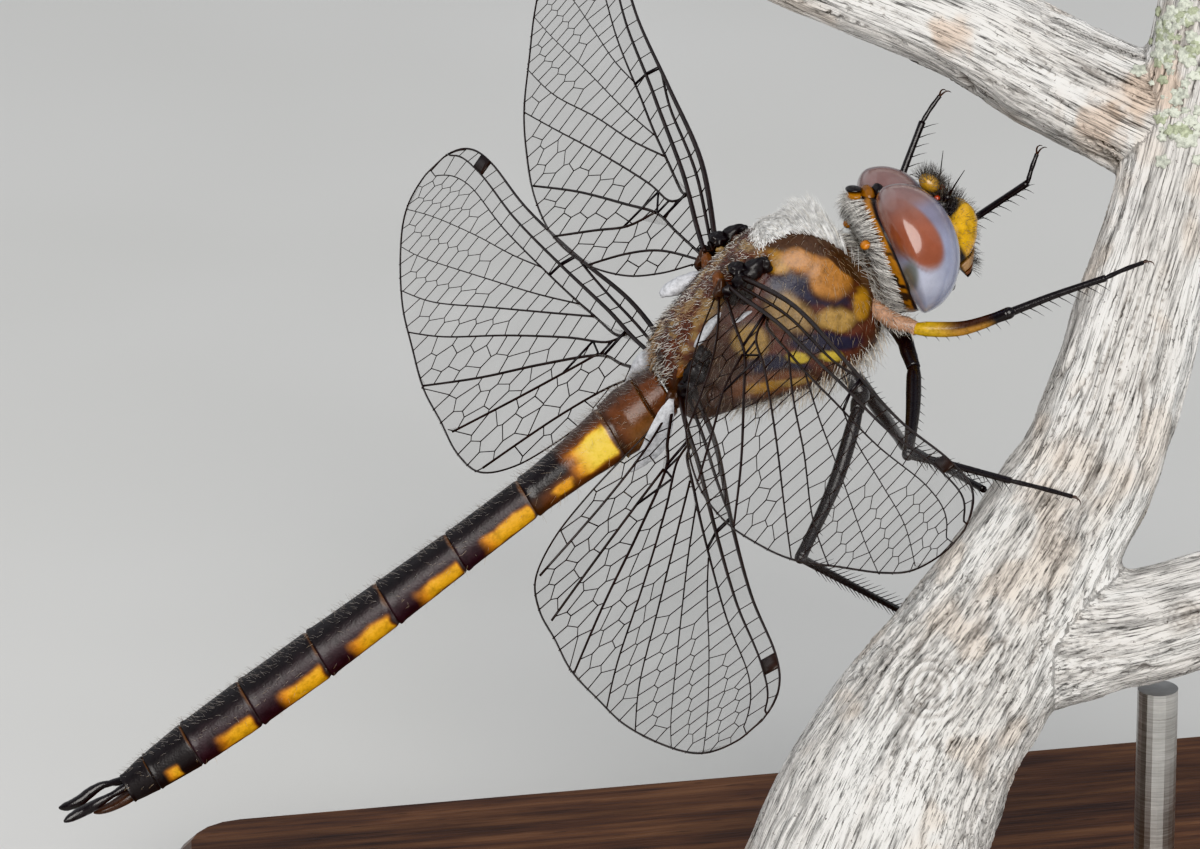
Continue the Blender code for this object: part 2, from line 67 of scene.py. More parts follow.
# --- colours ----------------------------------------------------------------------
BLACK = (0.010, 0.008, 0.009)
NAVY = (0.018, 0.017, 0.034)
DARK_BROWN = (0.045, 0.020, 0.012)
MAHOGANY = (0.115, 0.040, 0.018)
BROWN = (0.21, 0.085, 0.030)
CLAY = (0.33, 0.195, 0.095)
OCHRE = (0.58, 0.31, 0.060)
ORANGE = (0.56, 0.20, 0.024)
AMBER = (0.66, 0.30, 0.030)
YELLOW = (0.88, 0.66, 0.08)
SKIN_BROWN = (0.16, 0.10, 0.07)   # bare skin under the thick hair
PALE_HAIR = (0.80, 0.77, 0.71)
GREY_HAIR = (0.50, 0.48, 0.46)
TAN_HAIR = (0.62, 0.48, 0.33)
DARK_HAIR = (0.030, 0.022, 0.018)
CORD_WHITE = (0.54, 0.55, 0.58)
VEIN_BLACK, STIGMA_BROWN = (0.016, 0.010, 0.009), (0.020, 0.012, 0.010)
PIT_BROWN, PORE_BROWN = (0.045, 0.036, 0.030), (0.018, 0.009, 0.006)   # specks of the bark and of the base


# --- numbers ------------------------------------------------------------------------
def smooth_line(rows, steps):
    """A Catmull-Rom curve through rows of any width, ends included."""
    rows = np.asarray(rows, float)
    out = []
    for i in range(len(rows) - 1):
        before, start = rows[max(i - 1, 0)], rows[i]
        end, after = rows[i + 1], rows[min(i + 2, len(rows) - 1)]
        t = (np.arange(steps) / steps)[:, None]
        out.append(0.5 * (2.0 * start + (end - before) * t
                          + (2.0 * before - 5.0 * start + 4.0 * end - after) * t ** 2
                          + (3.0 * start - before - 3.0 * end + after) * t ** 3))
    out.append(rows[-1:])
    return np.vstack(out)


def ease(value, low, high):
    """0 below low, 1 above high and smooth between; high may be the smaller."""
    t = np.clip((np.asarray(value, float) - low) / (high - low), 0.0, 1.0)
    return t * t * (3.0 - 2.0 * t)


def unit(vectors):
    vectors = np.asarray(vectors, float)
    return vectors / np.maximum(np.linalg.norm(vectors, axis=-1, keepdims=True), 1e-12)


def lattice_noise(points, size, seed=0, octaves=1):
    """Smooth random heights from -1 to 1; size is the grain in the points' own unit."""
    points = np.asarray(points, float) / np.asarray(size, float)
    total, weight = 0.0, 0.0
    for octave in range(octaves):
        scaled = points * 2.0 ** octave + 31.7 * octave
        cell = np.floor(scaled)
        t = scaled - cell
        t = t * t * (3.0 - 2.0 * t)
        cell = cell.astype(np.int64)
        value = 0.0
        for dx in (0, 1):
            for dy in (0, 1):
                for dz in (0, 1):
                    key = ((cell[:, 0] + dx) * 73856093 ^ (cell[:, 1] + dy) * 19349663
                           ^ (cell[:, 2] + dz) * 83492791 ^ (seed + 11 * octave) * 2654435761)
                    key = ((key ^ (key >> 13)) * 1274126177) & 0x7FFFFFFF
                    share = ((t[:, 0] if dx else 1 - t[:, 0]) * (t[:, 1] if dy else 1 - t[:, 1])
                             * (t[:, 2] if dz else 1 - t[:, 2]))
                    value = value + share * (key / 0x40000000 - 1.0)
        total = total + value * 0.5 ** octave
        weight += 0.5 ** octave
    return total / weight


def blend(colours, mask, colour):
    """Paints a colour over an array of colours where the mask says."""
    mask = np.clip(mask, 0.0, 1.0)[:, None]
    return colours * (1.0 - mask) + np.asarray(colour) * mask


# --- shapes -------------------------------------------------------------------------
class Shape:
    """Points, faces and point colours gathered for one piece."""

    def __init__(self):
        self.points, self.faces, self.tints, self.count = [], [], [], 0

    def add(self, points, faces, tint=(1.0, 1.0, 1.0)):
        """Adds a mesh; tint is one colour or one for each point."""
        points = np.asarray(points, float)
        self.points.append(points)
        self.faces.extend(tuple(i + self.count for i in face) for face in faces)
        self.tints.append(np.broadcast_to(np.asarray(tint, float), points.shape))
        self.count += len(points)
        return self


def ring_faces(rings, sides):
    """The quads between equal rings, and a face on each end."""
    faces = []
    for ring in range(rings - 1):
        for i in range(sides):
            a, b = ring * sides + i, ring * sides + (i + 1) % sides
            faces.append((a, b, b + sides, a + sides))
    faces.append(tuple(range(sides - 1, -1, -1)))
    faces.append(tuple(range((rings - 1) * sides, rings * sides)))
    return faces


def tube(path, radii, sides=10, flat=1.0, up=None):
    """A round tube along a path; flat squeezes it along its second side."""
    path = np.asarray(path, float)
    radii = np.broadcast_to(radii, len(path))
    along = unit(np.gradient(path, axis=0))
    side = np.cross(along[0], (0.0, 0.0, 1.0) if up is None else up)
    if np.linalg.norm(side) < 1e-6:
        side = np.cross(along[0], (0.0, 1.0, 0.0))
    turn = 2.0 * np.pi * np.arange(sides) / sides
    rings = []
    for centre, direction, radius in zip(path, along, radii):
        side = unit(side - direction * side.dot(direction))
        other = np.cross(direction, side)
        rings.append(centre + radius * (np.cos(turn)[:, None] * side + flat * np.sin(turn)[:, None] * other))
    return np.vstack(rings), ring_faces(len(path), sides)


def ball(centre, size, rings=24, sides=32):
    """An ellipsoid with rings round its X axis, closed by a small face at each end."""
    turn = np.linspace(0.02, np.pi - 0.02, rings)
    around = 2.0 * np.pi * np.arange(sides) / sides
    points = np.stack([np.repeat(-np.cos(turn), sides),
                       np.outer(np.sin(turn), np.cos(around)).ravel(),
                       np.outer(np.sin(turn), np.sin(around)).ravel()], axis=1)
    return points * np.asarray(size) + np.asarray(centre), ring_faces(rings, sides)


def loft(table, sides, steps, squareness=2.0):
    """Rings about +X from rows of x, height of middle, half width and half height.

    Returns the points, their share round the ring (0 on the left, a quarter on top) and the faces.
    """
    rows = smooth_line(table, steps)
    turn = 2.0 * np.pi * np.arange(sides) / sides
    across = np.copysign(np.abs(np.cos(turn)) ** (2.0 / squareness), np.cos(turn))
    up = np.copysign(np.abs(np.sin(turn)) ** (2.0 / squareness), np.sin(turn))
    points = np.stack([np.repeat(rows[:, 0], sides),
                       np.outer(rows[:, 2], across).ravel(),
                       (rows[:, 1:2] + np.outer(rows[:, 3], up)).ravel()], axis=1)
    return points, np.tile(turn / (2.0 * np.pi), len(rows)), ring_faces(len(rows), sides)


def point_normals(points, faces):
    """Area-weighted normals at the points of a mesh; only its quads count."""
    normals = np.zeros_like(points)
    quads = np.array([face for face in faces if len(face) == 4])
    cross = np.cross(points[quads[:, 2]] - points[quads[:, 0]], points[quads[:, 3]] - points[quads[:, 1]])
    for corner in range(4):
        np.add.at(normals, quads[:, corner], cross)
    return unit(normals)


def both_sides(name):
    """The names of a right and a left part, each with the sign of its y."""
    return (name + "_right", -1.0), (name + "_left", 1.0)


def add_piece(name, shape, matrix, look, replaces=(), grain=None):
    """Turns a shape in millimetres of some frame into a piece of the model."""
    points = np.vstack(shape.points)
    turn = np.array(matrix.to_3x3())
    world = (points @ turn.T + np.array(matrix.translation)) * MM
    mesh = bpy.data.meshes.new(name)
    mesh.from_pydata(world.tolist(), [], shape.faces)
    tints = np.vstack(shape.tints)
    tints = np.hstack([tints, np.ones((len(tints), 1))])
    mesh.attributes.new("tint", "FLOAT_COLOR", "POINT").data.foreach_set("color", tints.ravel())
    if grain is not None:
        mesh.attributes.new("grain", "FLOAT_VECTOR", "POINT").data.foreach_set("vector", grain.ravel())
    mesh.shade_smooth()
    mesh.materials.append(LOOKS[look])
    piece = bpy.data.objects.new(name, mesh)
    bpy.context.scene.collection.objects.link(piece)
    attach(piece, "root")
    if replaces:
        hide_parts(*replaces)
    return piece


# --- materials ----------------------------------------------------------------------
class Look:
    """A material in the making: its shader and short ways to add nodes to it."""

    def __init__(self, name, **settings):
        self.material = bpy.data.materials.new(name)
        self.material.use_nodes = True
        self.tree = self.material.node_tree
        self.shader = self.tree.nodes["Principled BSDF"]
        for socket, value in settings.items():
            self.shader.inputs[socket.replace("_", " ")].default_value = value

    def node(self, kind, inputs=None, **settings):
        """A new shader node with its settings and with values or other nodes' outputs as inputs."""
        node = self.tree.nodes.new("ShaderNode" + kind)
        for key, value in settings.items():
            setattr(node, key, value)
        for socket, value in (inputs or {}).items():
            if isinstance(value, bpy.types.NodeSocket):
                self.tree.links.new(value, node.inputs[socket])
            else:
                node.inputs[socket].default_value = value
        return node

    def place(self, stretch=(1.0, 1.0, 1.0)):
        """Object coordinates in millimetres, stretched along an axis where asked."""
        where = self.node("TexCoord").outputs["Object"]
        return self.node("Mapping", {"Vector": where, "Scale": [1000.0 / s for s in stretch]}).outputs[0]

    def own(self, name, output="Vector"):
        return self.node("Attribute", attribute_name=name).outputs[output]

    def noise(self, size, detail=3.0, vector=None, roughness=0.55):
        inputs = {"Vector": vector or self.place(), "Scale": 1.0 / size, "Detail": detail,
                  "Roughness": roughness}
        return self.node("TexNoise", inputs).outputs["Fac"]

    def cells(self, size):
        return self.node("TexVoronoi", {"Vector": self.place(), "Scale": 1.0 / size}).outputs["Distance"]

    def ramp(self, factor, *stops):
        """A ramp through (place, grey or colour) stops."""
        node = self.node("ValToRGB", {"Fac": factor})
        elements = node.color_ramp.elements
        while len(elements) < len(stops):
            elements.new(0.5)
        for element, (position, colour) in zip(elements, stops):
            element.position = position
            element.color = (*colour, 1.0) if np.ndim(colour) else (colour, colour, colour, 1.0)
        return node.outputs["Color"]

    def mix(self, factor, first, second, blend_type="MIX"):
        node = self.node("Mix", data_type="RGBA", blend_type=blend_type)
        for index, value in ((0, factor), (6, first), (7, second)):
            if isinstance(value, bpy.types.NodeSocket):
                self.tree.links.new(value, node.inputs[index])
            else:
                node.inputs[index].default_value = value if index == 0 else (*value, 1.0)
        return node.outputs[2]

    def times(self, first, second):
        return self.mix(1.0, first, second, "MULTIPLY")

    def tinted(self, factor, *stops):
        """The piece's own colours times a ramp."""
        return self.times(self.own("tint", "Color"), self.ramp(factor, *stops))

    def scale(self, value, low, high):
        """Maps 0 to 1 onto low to high."""
        return self.node("MapRange", {"Value": value, "To Min": low, "To Max": high}).outputs[0]

    def bump(self, height, depth, strength=1.0, normal=None):
        inputs = {"Height": height, "Distance": depth * MM, "Strength": strength}
        if normal is not None:
            inputs["Normal"] = normal
        return self.node("Bump", inputs).outputs[0]

    def use(self, **sockets):
        for socket, value in sockets.items():
            self.tree.links.new(value, self.shader.inputs[socket.replace("_", " ")])
        return self.material


def shell_look(name, rough=(0.22, 0.42), grain=0.35, grain_depth=0.02, pit=0.09, pit_depth=0.008, **settings):
    """Insect shell: the painted tint, mottled, with fine pits and a soft polish."""
    look = Look(name, **settings)
    mottle = look.noise(grain, 4.0)
    fine = look.noise(0.08, 2.0)
    colour = look.tinted(mottle, (0.30, 0.62), (0.50, 0.95), (0.70, 1.12))
    speck = look.ramp(fine, (0.35, 0.75), (0.55, 1.05))
    colour = look.mix(0.55, colour, look.times(colour, speck))
    normal = look.bump(look.cells(pit), pit_depth, 0.8)
    normal = look.bump(mottle, grain_depth, 0.7, normal)
    return look.use(Base_Color=colour, Roughness=look.scale(fine, *rough), Normal=normal)


def hair_look(name):
    """Hair: the tint of each tuft, a little darker in random patches painted in as shade among the tufts."""
    look = Look(name, Sheen_Weight=0.35, Sheen_Roughness=0.5, Specular_IOR_Level=0.35)
    # painted shade: noise darkens the tufts to about half in patches
    colour = look.tinted(look.noise(0.25), (0.35, 0.55), (0.60, 1.0))
    return look.use(Base_Color=colour, Roughness=look.scale(look.noise(0.1), 0.45, 0.7))


def eye_look(name):
    """A compound eye: soft colour inside a polished skin of tiny facets."""
    look = Look(name, Coat_Weight=1.0, Coat_Roughness=0.07, Specular_IOR_Level=0.30,
                Subsurface_Weight=0.10, Subsurface_Scale=0.0003)
    look.shader.inputs["Subsurface Radius"].default_value = (1.0, 0.6, 0.5)
    soft = look.noise(0.6)
    colour = look.tinted(soft, (0.3, 0.90), (0.7, 1.08))
    facets = look.cells(0.045)
    colour = look.mix(0.10, colour, look.ramp(facets, (0.0, 1.0), (0.6, 0.35)), "MULTIPLY")
    return look.use(Base_Color=colour, Roughness=look.scale(soft, 0.20, 0.30),
                    Normal=look.bump(facets, 0.003, 0.25))


def membrane_look(name):
    """Clear wing film: a faint smoky tint, brighter where it catches the light."""
    look = Look(name, Alpha=0.15, Specular_IOR_Level=0.8, Coat_Weight=0.3, Coat_Roughness=0.15)
    cloud = look.noise(2.6)
    colour = look.ramp(cloud, (0.36, (0.060, 0.052, 0.042)), (0.52, (0.12, 0.11, 0.10)),
                       (0.68, (0.30, 0.29, 0.28)))
    return look.use(Base_Color=colour, Roughness=look.scale(cloud, 0.12, 0.30),
                    Normal=look.bump(look.noise(0.35), 0.03, 0.6))


def vein_look(name):
    """Wing veins: near black, browner in places, with a dull gloss."""
    look = Look(name, Specular_IOR_Level=0.4)
    colour = look.tinted(look.noise(1.1), (0.3, 0.6), (0.7, 1.5))
    return look.use(Base_Color=colour, Roughness=look.scale(look.noise(0.2), 0.25, 0.5),
                    Normal=look.bump(look.noise(0.05), 0.006))


def bark_look(name):
    """Weathered wood: bleached grey fibres over brown, darker down the cracks."""
    look = Look(name, Specular_IOR_Level=0.25)

    def along_grain(size, share):
        grain = look.node("Mapping", {"Vector": look.own("grain"), "Scale": (1.0, 1.0, share)}).outputs[0]
        return look.noise(size, 5.0, grain, 0.72)

    fibre, streak = along_grain(0.085, 0.040), along_grain(0.40, 0.09)
    speck = look.noise(0.22, 5.0, roughness=0.75)
    colour = look.tinted(fibre, (0.36, 0.14), (0.45, 0.62), (0.53, 1.0), (0.70, 1.15))
    colour = look.mix(0.7, colour, look.times(colour, look.ramp(streak, (0.36, 0.35), (0.50, 1.05))))
    colour = look.mix(look.ramp(speck, (0.60, 0.0), (0.68, 0.85)), colour, PIT_BROWN)
    normal = look.bump(fibre, 0.09, 1.0)
    normal = look.bump(speck, 0.05, 0.5, normal)
    return look.use(Base_Color=colour, Roughness=look.scale(fibre, 0.95, 0.7), Normal=normal)


def lichen_look(name):
    """Dry, crumbly crusts."""
    look = Look(name, Specular_IOR_Level=0.15)
    crumb = look.noise(0.18, 5.0, roughness=0.7)
    colour, rough = look.tinted(crumb, (0.35, 0.55), (0.62, 1.1)), look.scale(crumb, 0.85, 1.0)
    return look.use(Base_Color=colour, Roughness=rough, Normal=look.bump(crumb, 0.12, 0.9))


def base_look(name):
    """Dark oiled hardwood with its grain along the base."""
    look = Look(name, Specular_IOR_Level=0.4, Coat_Weight=0.15, Coat_Roughness=0.3)
    grain = look.noise(0.55, 6.0, look.place((14.0, 1.0, 1.0)), 0.6)
    pore = look.noise(0.16, vector=look.place((10.0, 1.0, 1.0)))
    ring = look.noise(3.2, vector=look.place((6.0, 1.0, 1.0)))
    colour = look.ramp(grain, (0.32, (0.030, 0.014, 0.009)), (0.50, (0.085, 0.038, 0.020)),
                       (0.68, (0.155, 0.075, 0.038)))
    colour = look.times(colour, look.ramp(ring, (0.35, 0.65), (0.65, 1.25)))
    colour = look.mix(look.ramp(pore, (0.62, 0.0), (0.70, 0.7)), colour, PORE_BROWN)
    return look.use(Base_Color=colour, Roughness=look.scale(grain, 0.28, 0.45),
                    Normal=look.bump(pore, 0.03, 0.5))


def steel_look(name):
    """Steel brushed round the rod: fine rings up its length."""
    look = Look(name, Metallic=1.0)
    brush = look.noise(0.05, vector=look.place((30.0, 30.0, 1.0)))
    colour = look.times(look.ramp(brush, (0.3, (0.46, 0.45, 0.43)), (0.7, (0.68, 0.67, 0.65))),
                        look.ramp(look.noise(1.5), (0.3, 0.85), (0.7, 1.05)))
    return look.use(Base_Color=colour, Roughness=look.scale(brush, 0.22, 0.42),
                    Normal=look.bump(brush, 0.01, 0.4))


def floor_look(name):
    """A plain, faintly uneven grey."""
    look = Look(name, Roughness=0.8)
    tone = look.ramp(look.noise(40.0, 2.0), (0.3, (0.60, 0.60, 0.585)), (0.7, (0.64, 0.64, 0.63)))
    return look.use(Base_Color=tone)


# --- wings --------------------------------------------------------------------------
# Each wing is set out as (span, chord): how far out from the hinge, and forward of the hinge line.
# A vein is a name, the vein it leaves, its points, its half thickness and its height over the wing.
# The first three lie a stated way behind the leading edge; the others have their own chord.
FOREWING = {
    "hinge": (-1.25, 2.2, 3.6), "sweep": 7.6, "rise": 3.4, "pitch": 16.0,
    "outline": [
        (-0.5, 0.5), (6.0, 0.9), (13.5, 0.4), (20.4, -0.1), (26.2, -0.15), (29.4, -0.5), (31.0, -1.6),
        (31.1, -2.8), (30.1, -4.1), (28.2, -4.9), (25.1, -5.7), (21.4, -6.6), (17.7, -7.0),
        (14.2, -7.1), (10.3, -6.7), (6.4, -5.6), (3.1, -4.0), (1.0, -2.4), (-0.4, -0.9),
    ],
    "nodus": 15.5, "arculus": 4.6, "stigma": (25.5, 26.7), "triangle": (5.4, 6.7),
    "behind_edge": [
        ("subcosta", None, [(-0.5, 0.28), (3.0, 0.40), (8.0, 0.44), (12.0, 0.36), (15.5, 0.0)], 0.055, -0.10),
        ("radius", None, [(-0.5, 0.52), (3.0, 0.80), (8.0, 0.88), (15.5, 0.64), (24.0, 0.50), (28.0, 0.48),
                          (30.6, 0.40)], 0.075, 0.12),
        ("sector", "radius", [(4.6, 0.82), (5.6, 1.30), (10.0, 1.42), (15.5, 1.30), (22.0, 1.20),
                              (27.0, 1.25), (30.3, 1.5)], 0.050, -0.07),
    ],
    "veins": [
        ("second", "sector", [(16.2, -1.15), (19.0, -1.75), (23.0, -2.35), (27.0, -3.0), (30.3, -4.0)],
         0.036, 0.05),
        ("between", "sector", [(11.0, -0.9), (15.0, -1.95), (20.0, -3.1), (25.0, -4.3), (28.1, -4.95)],
         0.034, -0.05),
        ("third", "sector", [(8.5, -0.6), (12.0, -1.95), (16.0, -3.25), (20.5, -4.9), (24.6, -5.9)],
         0.040, 0.05),
        ("media", "radius", [(4.6, -0.1), (5.3, -1.0), (8.0, -1.75), (13.0, -3.45), (18.0, -5.3),
                             (21.6, -6.6)], 0.042, 0.0),
        ("trunk", None, [(-0.5, -0.25), (3.0, -1.15), (5.4, -1.75), (8.0, -3.0), (12.0, -5.0), (15.6, -7.1)],
         0.050, -0.05),
        ("cubitus", "trunk", [(5.4, -1.75), (6.2, -3.15), (8.0, -4.65), (10.4, -6.7)], 0.045, 0.04),
        ("anal", None, [(-0.5, -0.45), (2.5, -2.0), (4.5, -3.6), (6.3, -5.6)], 0.040, 0.0),
    ],
}
HINDWING = {
    "hinge": (-5.3, 2.2, 0.5), "sweep": -3.2, "rise": 1.7, "pitch": 12.0,
    "outline": [
        (-0.2, 0.8), (5.5, 0.8), (12.0, 0.2), (18.5, -0.2), (24.0, -0.2), (26.6, -0.6), (27.7, -1.6),
        (27.6, -3.0), (26.4, -4.4), (23.8, -5.6), (20.0, -6.8), (16.4, -7.5), (12.8, -8.1),
        (9.5, -8.3), (6.4, -8.5), (3.7, -8.2), (1.9, -6.9), (0.9, -5.0), (0.3, -2.8), (-0.1, -0.8),
    ],
    "nodus": 12.0, "arculus": 3.6, "stigma": (23.9, 25.0), "triangle": (4.0, 5.2),
    "behind_edge": [
        ("subcosta", None, [(-0.2, 0.30), (3.0, 0.42), (7.0, 0.42), (12.0, 0.0)], 0.055, -0.10),
        ("radius", None, [(-0.2, 0.55), (3.0, 0.85), (7.0, 0.86), (12.0, 0.70), (20.0, 0.62), (25.0, 0.62),
                          (27.3, 0.40)], 0.075, 0.12),
        ("sector", "radius", [(3.6, 0.85), (4.5, 1.35), (8.0, 1.40), (12.0, 1.30), (18.0, 1.25),
                              (24.0, 1.30), (27.0, 1.6)], 0.050, -0.07),
    ],
    "veins": [
        ("second", "sector", [(13.0, -1.15), (16.0, -1.85), (20.0, -2.6), (24.0, -3.5), (26.7, -4.3)],
         0.036, 0.05),
        ("between", "sector", [(8.5, -0.9), (12.0, -2.05), (17.0, -3.5), (22.0, -4.9), (24.6, -5.4)],
         0.034, -0.05),
        ("third", "sector", [(6.5, -0.7), (10.0, -2.2), (14.0, -3.9), (18.0, -5.6), (21.4, -6.5)],
         0.040, 0.05),
        ("media", "radius", [(3.6, -0.1), (4.3, -1.0), (7.0, -2.1), (11.0, -4.0), (15.0, -6.1), (18.0, -7.3)],
         0.042, 0.0),
        ("trunk", None, [(-0.2, -0.35), (2.0, -1.05), (4.0, -1.55), (7.0, -3.6), (10.0, -5.9), (13.3, -8.1)],
         0.050, -0.05),
        ("cubitus", "trunk", [(4.0, -1.55), (5.0, -3.3), (6.4, -5.6), (8.2, -8.4)], 0.045, 0.04),
        ("anal", None, [(-0.1, -0.55), (1.3, -2.1), (2.6, -4.6), (3.9, -8.25)], 0.040, 0.0),
    ],
}
EDGE_VEIN, HIND_EDGE_VEIN, CROSS_VEIN = 0.085, 0.038, 0.021   # half thicknesses
WING_STATIONS = 360
CELL_ROW, CELL_LONG = 0.98, 1.08          # usual size of a cell in the wing's open fields
LADDER_LONG = 1.65                        # cells between the three leading veins
FIELD_HEIGHT = 0.03                       # how much each cell of film bulges
RIM_INSET = 0.10                          # the veins' middles lie this far inside the outline


def wing_matrix(wing, side):
    """Local X points forward along the chord and local Y out along the span."""
    sweep, rise, pitch = (math.radians(wing[key]) for key in ("sweep", "rise", "pitch"))
    span = Vector((math.sin(sweep) * math.cos(rise), side * math.cos(sweep) * math.cos(rise),
                   math.sin(rise)))
    forward = Vector((1.0, 0.0, 0.0))
    forward = (forward - span * forward.dot(span)).normalized()
    chord = forward * math.cos(pitch) + forward.cross(span) * side * math.sin(pitch)
    matrix = Matrix((chord, span, chord.cross(span))).transposed().to_4x4()
    x, y, z = wing["hinge"]
    matrix.translation = Vector((x, side * y, z))
    return BODY @ matrix


class Wing:
    """Veins of one wing as chord and height against span, and its field of cells."""

    def __init__(self, plan, side, rng):
        self.plan, self.side, self.rng = plan, side, rng
        edge = smooth_line(plan["outline"], 8)
        tip = int(edge[:, 0].argmax())
        self.spans = np.linspace(edge[0, 0] + 0.02, edge[tip, 0] - RIM_INSET, WING_STATIONS)
        self.front = np.interp(self.spans, edge[:tip + 1, 0], edge[:tip + 1, 1]) - 0.05
        back = edge[tip:][::-1]
        self.hind = np.interp(self.spans, back[:, 0], back[:, 1]) + 0.04
        self.lines = [("costa", self.front, EDGE_VEIN, 0.02)]
        known = {"costa": self.front}
        for name, parent, points, radius, height in plan["behind_edge"] + plan["veins"]:
            rows = smooth_line(points, 6)
            chord = np.interp(self.spans, rows[:, 0], rows[:, 1])
            if (name, parent, points, radius, height) in plan["behind_edge"]:
                chord = self.front - chord
            before = self.spans < rows[0, 0]
            if parent:
                chord[before] = known[parent][before]
            chord[self.spans > rows[-1, 0]] = -99.0 if name not in ("subcosta", "radius", "sector") \
                else chord[self.spans <= rows[-1, 0]][-1]
            if name == "subcosta":
                chord[self.spans > plan["nodus"]] = self.front[self.spans > plan["nodus"]]
            chord = np.maximum(np.minimum(chord, self.lines[-1][1]), self.hind)
            known[name] = chord
            self.lines.append((name, chord, radius, height))
        self.lines.append(("hind_edge", self.hind, HIND_EDGE_VEIN, 0.0))

    def height(self, index, span):
        """Veins are ridges and troughs near the hinge and flatten out to the tip.

        A right wing's local Z points down, so its heights change sign.
        """
        level = self.side * self.lines[index][3]
        return level * (1.0 - 0.6 * ease(span, 0.0, self.spans[-1]))

    def seeds(self, index):
        """Middles of the cells between vein index and the next one back."""
        upper, lower = self.lines[index][1], self.lines[index + 1][1]
        ladder = index < 3
        out, span, odd = [], self.spans[0] + 0.4, 0
        while span < self.spans[-1]:
            top, bottom = np.interp(span, self.spans, upper), np.interp(span, self.spans, lower)
            width = top - bottom
            out_ease = 1.0 - 0.32 * ease(span, 0.5 * self.spans[-1], self.spans[-1])
            step = (LADDER_LONG if ladder else CELL_LONG) * out_ease
            if width > 0.10:
                rows = 1 if ladder else max(1, round(width / (CELL_ROW * out_ease)))
                for row in range(rows):
                    shift = 0.5 * step * ((row + odd) % 2) if rows > 1 else 0.0
                    jitter = self.rng.uniform(-0.10, 0.10, 2) * step
                    out.append((span + shift + jitter[0],
                                bottom + width * (row + 0.5) / rows + (jitter[1] if rows > 1 else 0.0)))
            span += step
        return np.array(out)

    def cells(self, index):
        """Polygons of (span, chord) round relaxed seeds, clipped to the two veins."""
        seeds = self.seeds(index)
        upper, lower = self.lines[index][1], self.lines[index + 1][1]
        for _ in range(2):
            polygons = [self.cell(k, seeds, upper, lower) for k in range(len(seeds))]
            keep = [k for k, polygon in enumerate(polygons) if len(polygon) > 2]
            seeds = np.array([np.mean(polygons[k], axis=0) for k in keep])
        polygons = [self.cell(k, seeds, upper, lower) for k in range(len(seeds))]
        return [polygon for polygon in polygons if len(polygon) > 2]

    def cell(self, k, seeds, upper, lower):
        """What lies nearer to seed k than to any other, between the two veins."""
        here = seeds[k]
        window = np.abs(self.spans - here[0]) < 2.0 * LADDER_LONG
        spans, top, bottom = self.spans[window], upper[window], lower[window]
        polygon = ([(s, c) for s, c in zip(spans[::3], top[::3])]
                   + [(s, c) for s, c in zip(spans[::3][::-1], bottom[::3][::-1])])
        apart = np.hypot(*(seeds - here).T)
        for other in np.argsort(apart)[1:14]:
            middle = (seeds[other] + here) / 2.0
            normal = seeds[other] - here
            polygon = clip(polygon, normal, normal @ middle)
            if len(polygon) < 3:
                return []
        return polygon


def clip(polygon, normal, limit):
    """The part of a polygon where the normal's reading is under the limit."""
    out = []
    nx, ny = normal
    last = polygon[-1]
    last_value = nx * last[0] + ny * last[1] - limit
    for point in polygon:
        value = nx * point[0] + ny * point[1] - limit
        if (value > 0.0) != (last_value > 0.0):
            t = last_value / (last_value - value)
            out.append((last[0] + (point[0] - last[0]) * t, last[1] + (point[1] - last[1]) * t))
        if value <= 0.0:
            out.append(point)
        last, last_value = point, value
    return out


def rods(starts, ends, radii):
    """Many four-sided rods at once, lying in the wing."""
    along = unit(ends - starts)
    across = unit(np.cross(along, (0.0, 0.0, 1.0)))
    over = np.cross(along, across)
    corners = [(1, 0), (0, 1), (-1, 0), (0, -1)]
    rows = [base + radii[:, None] * (a * across + b * over)
            for base in (starts, ends) for a, b in corners]
    points = np.stack(rows, axis=1).reshape(-1, 3)
    faces = []
    for k in range(0, len(points), 8):
        faces += [(k + i, k + (i + 1) % 4, k + 4 + (i + 1) % 4, k + 4 + i) for i in range(4)]
        faces += [(k + 3, k + 2, k + 1, k), (k + 4, k + 5, k + 6, k + 7)]
    return points, faces


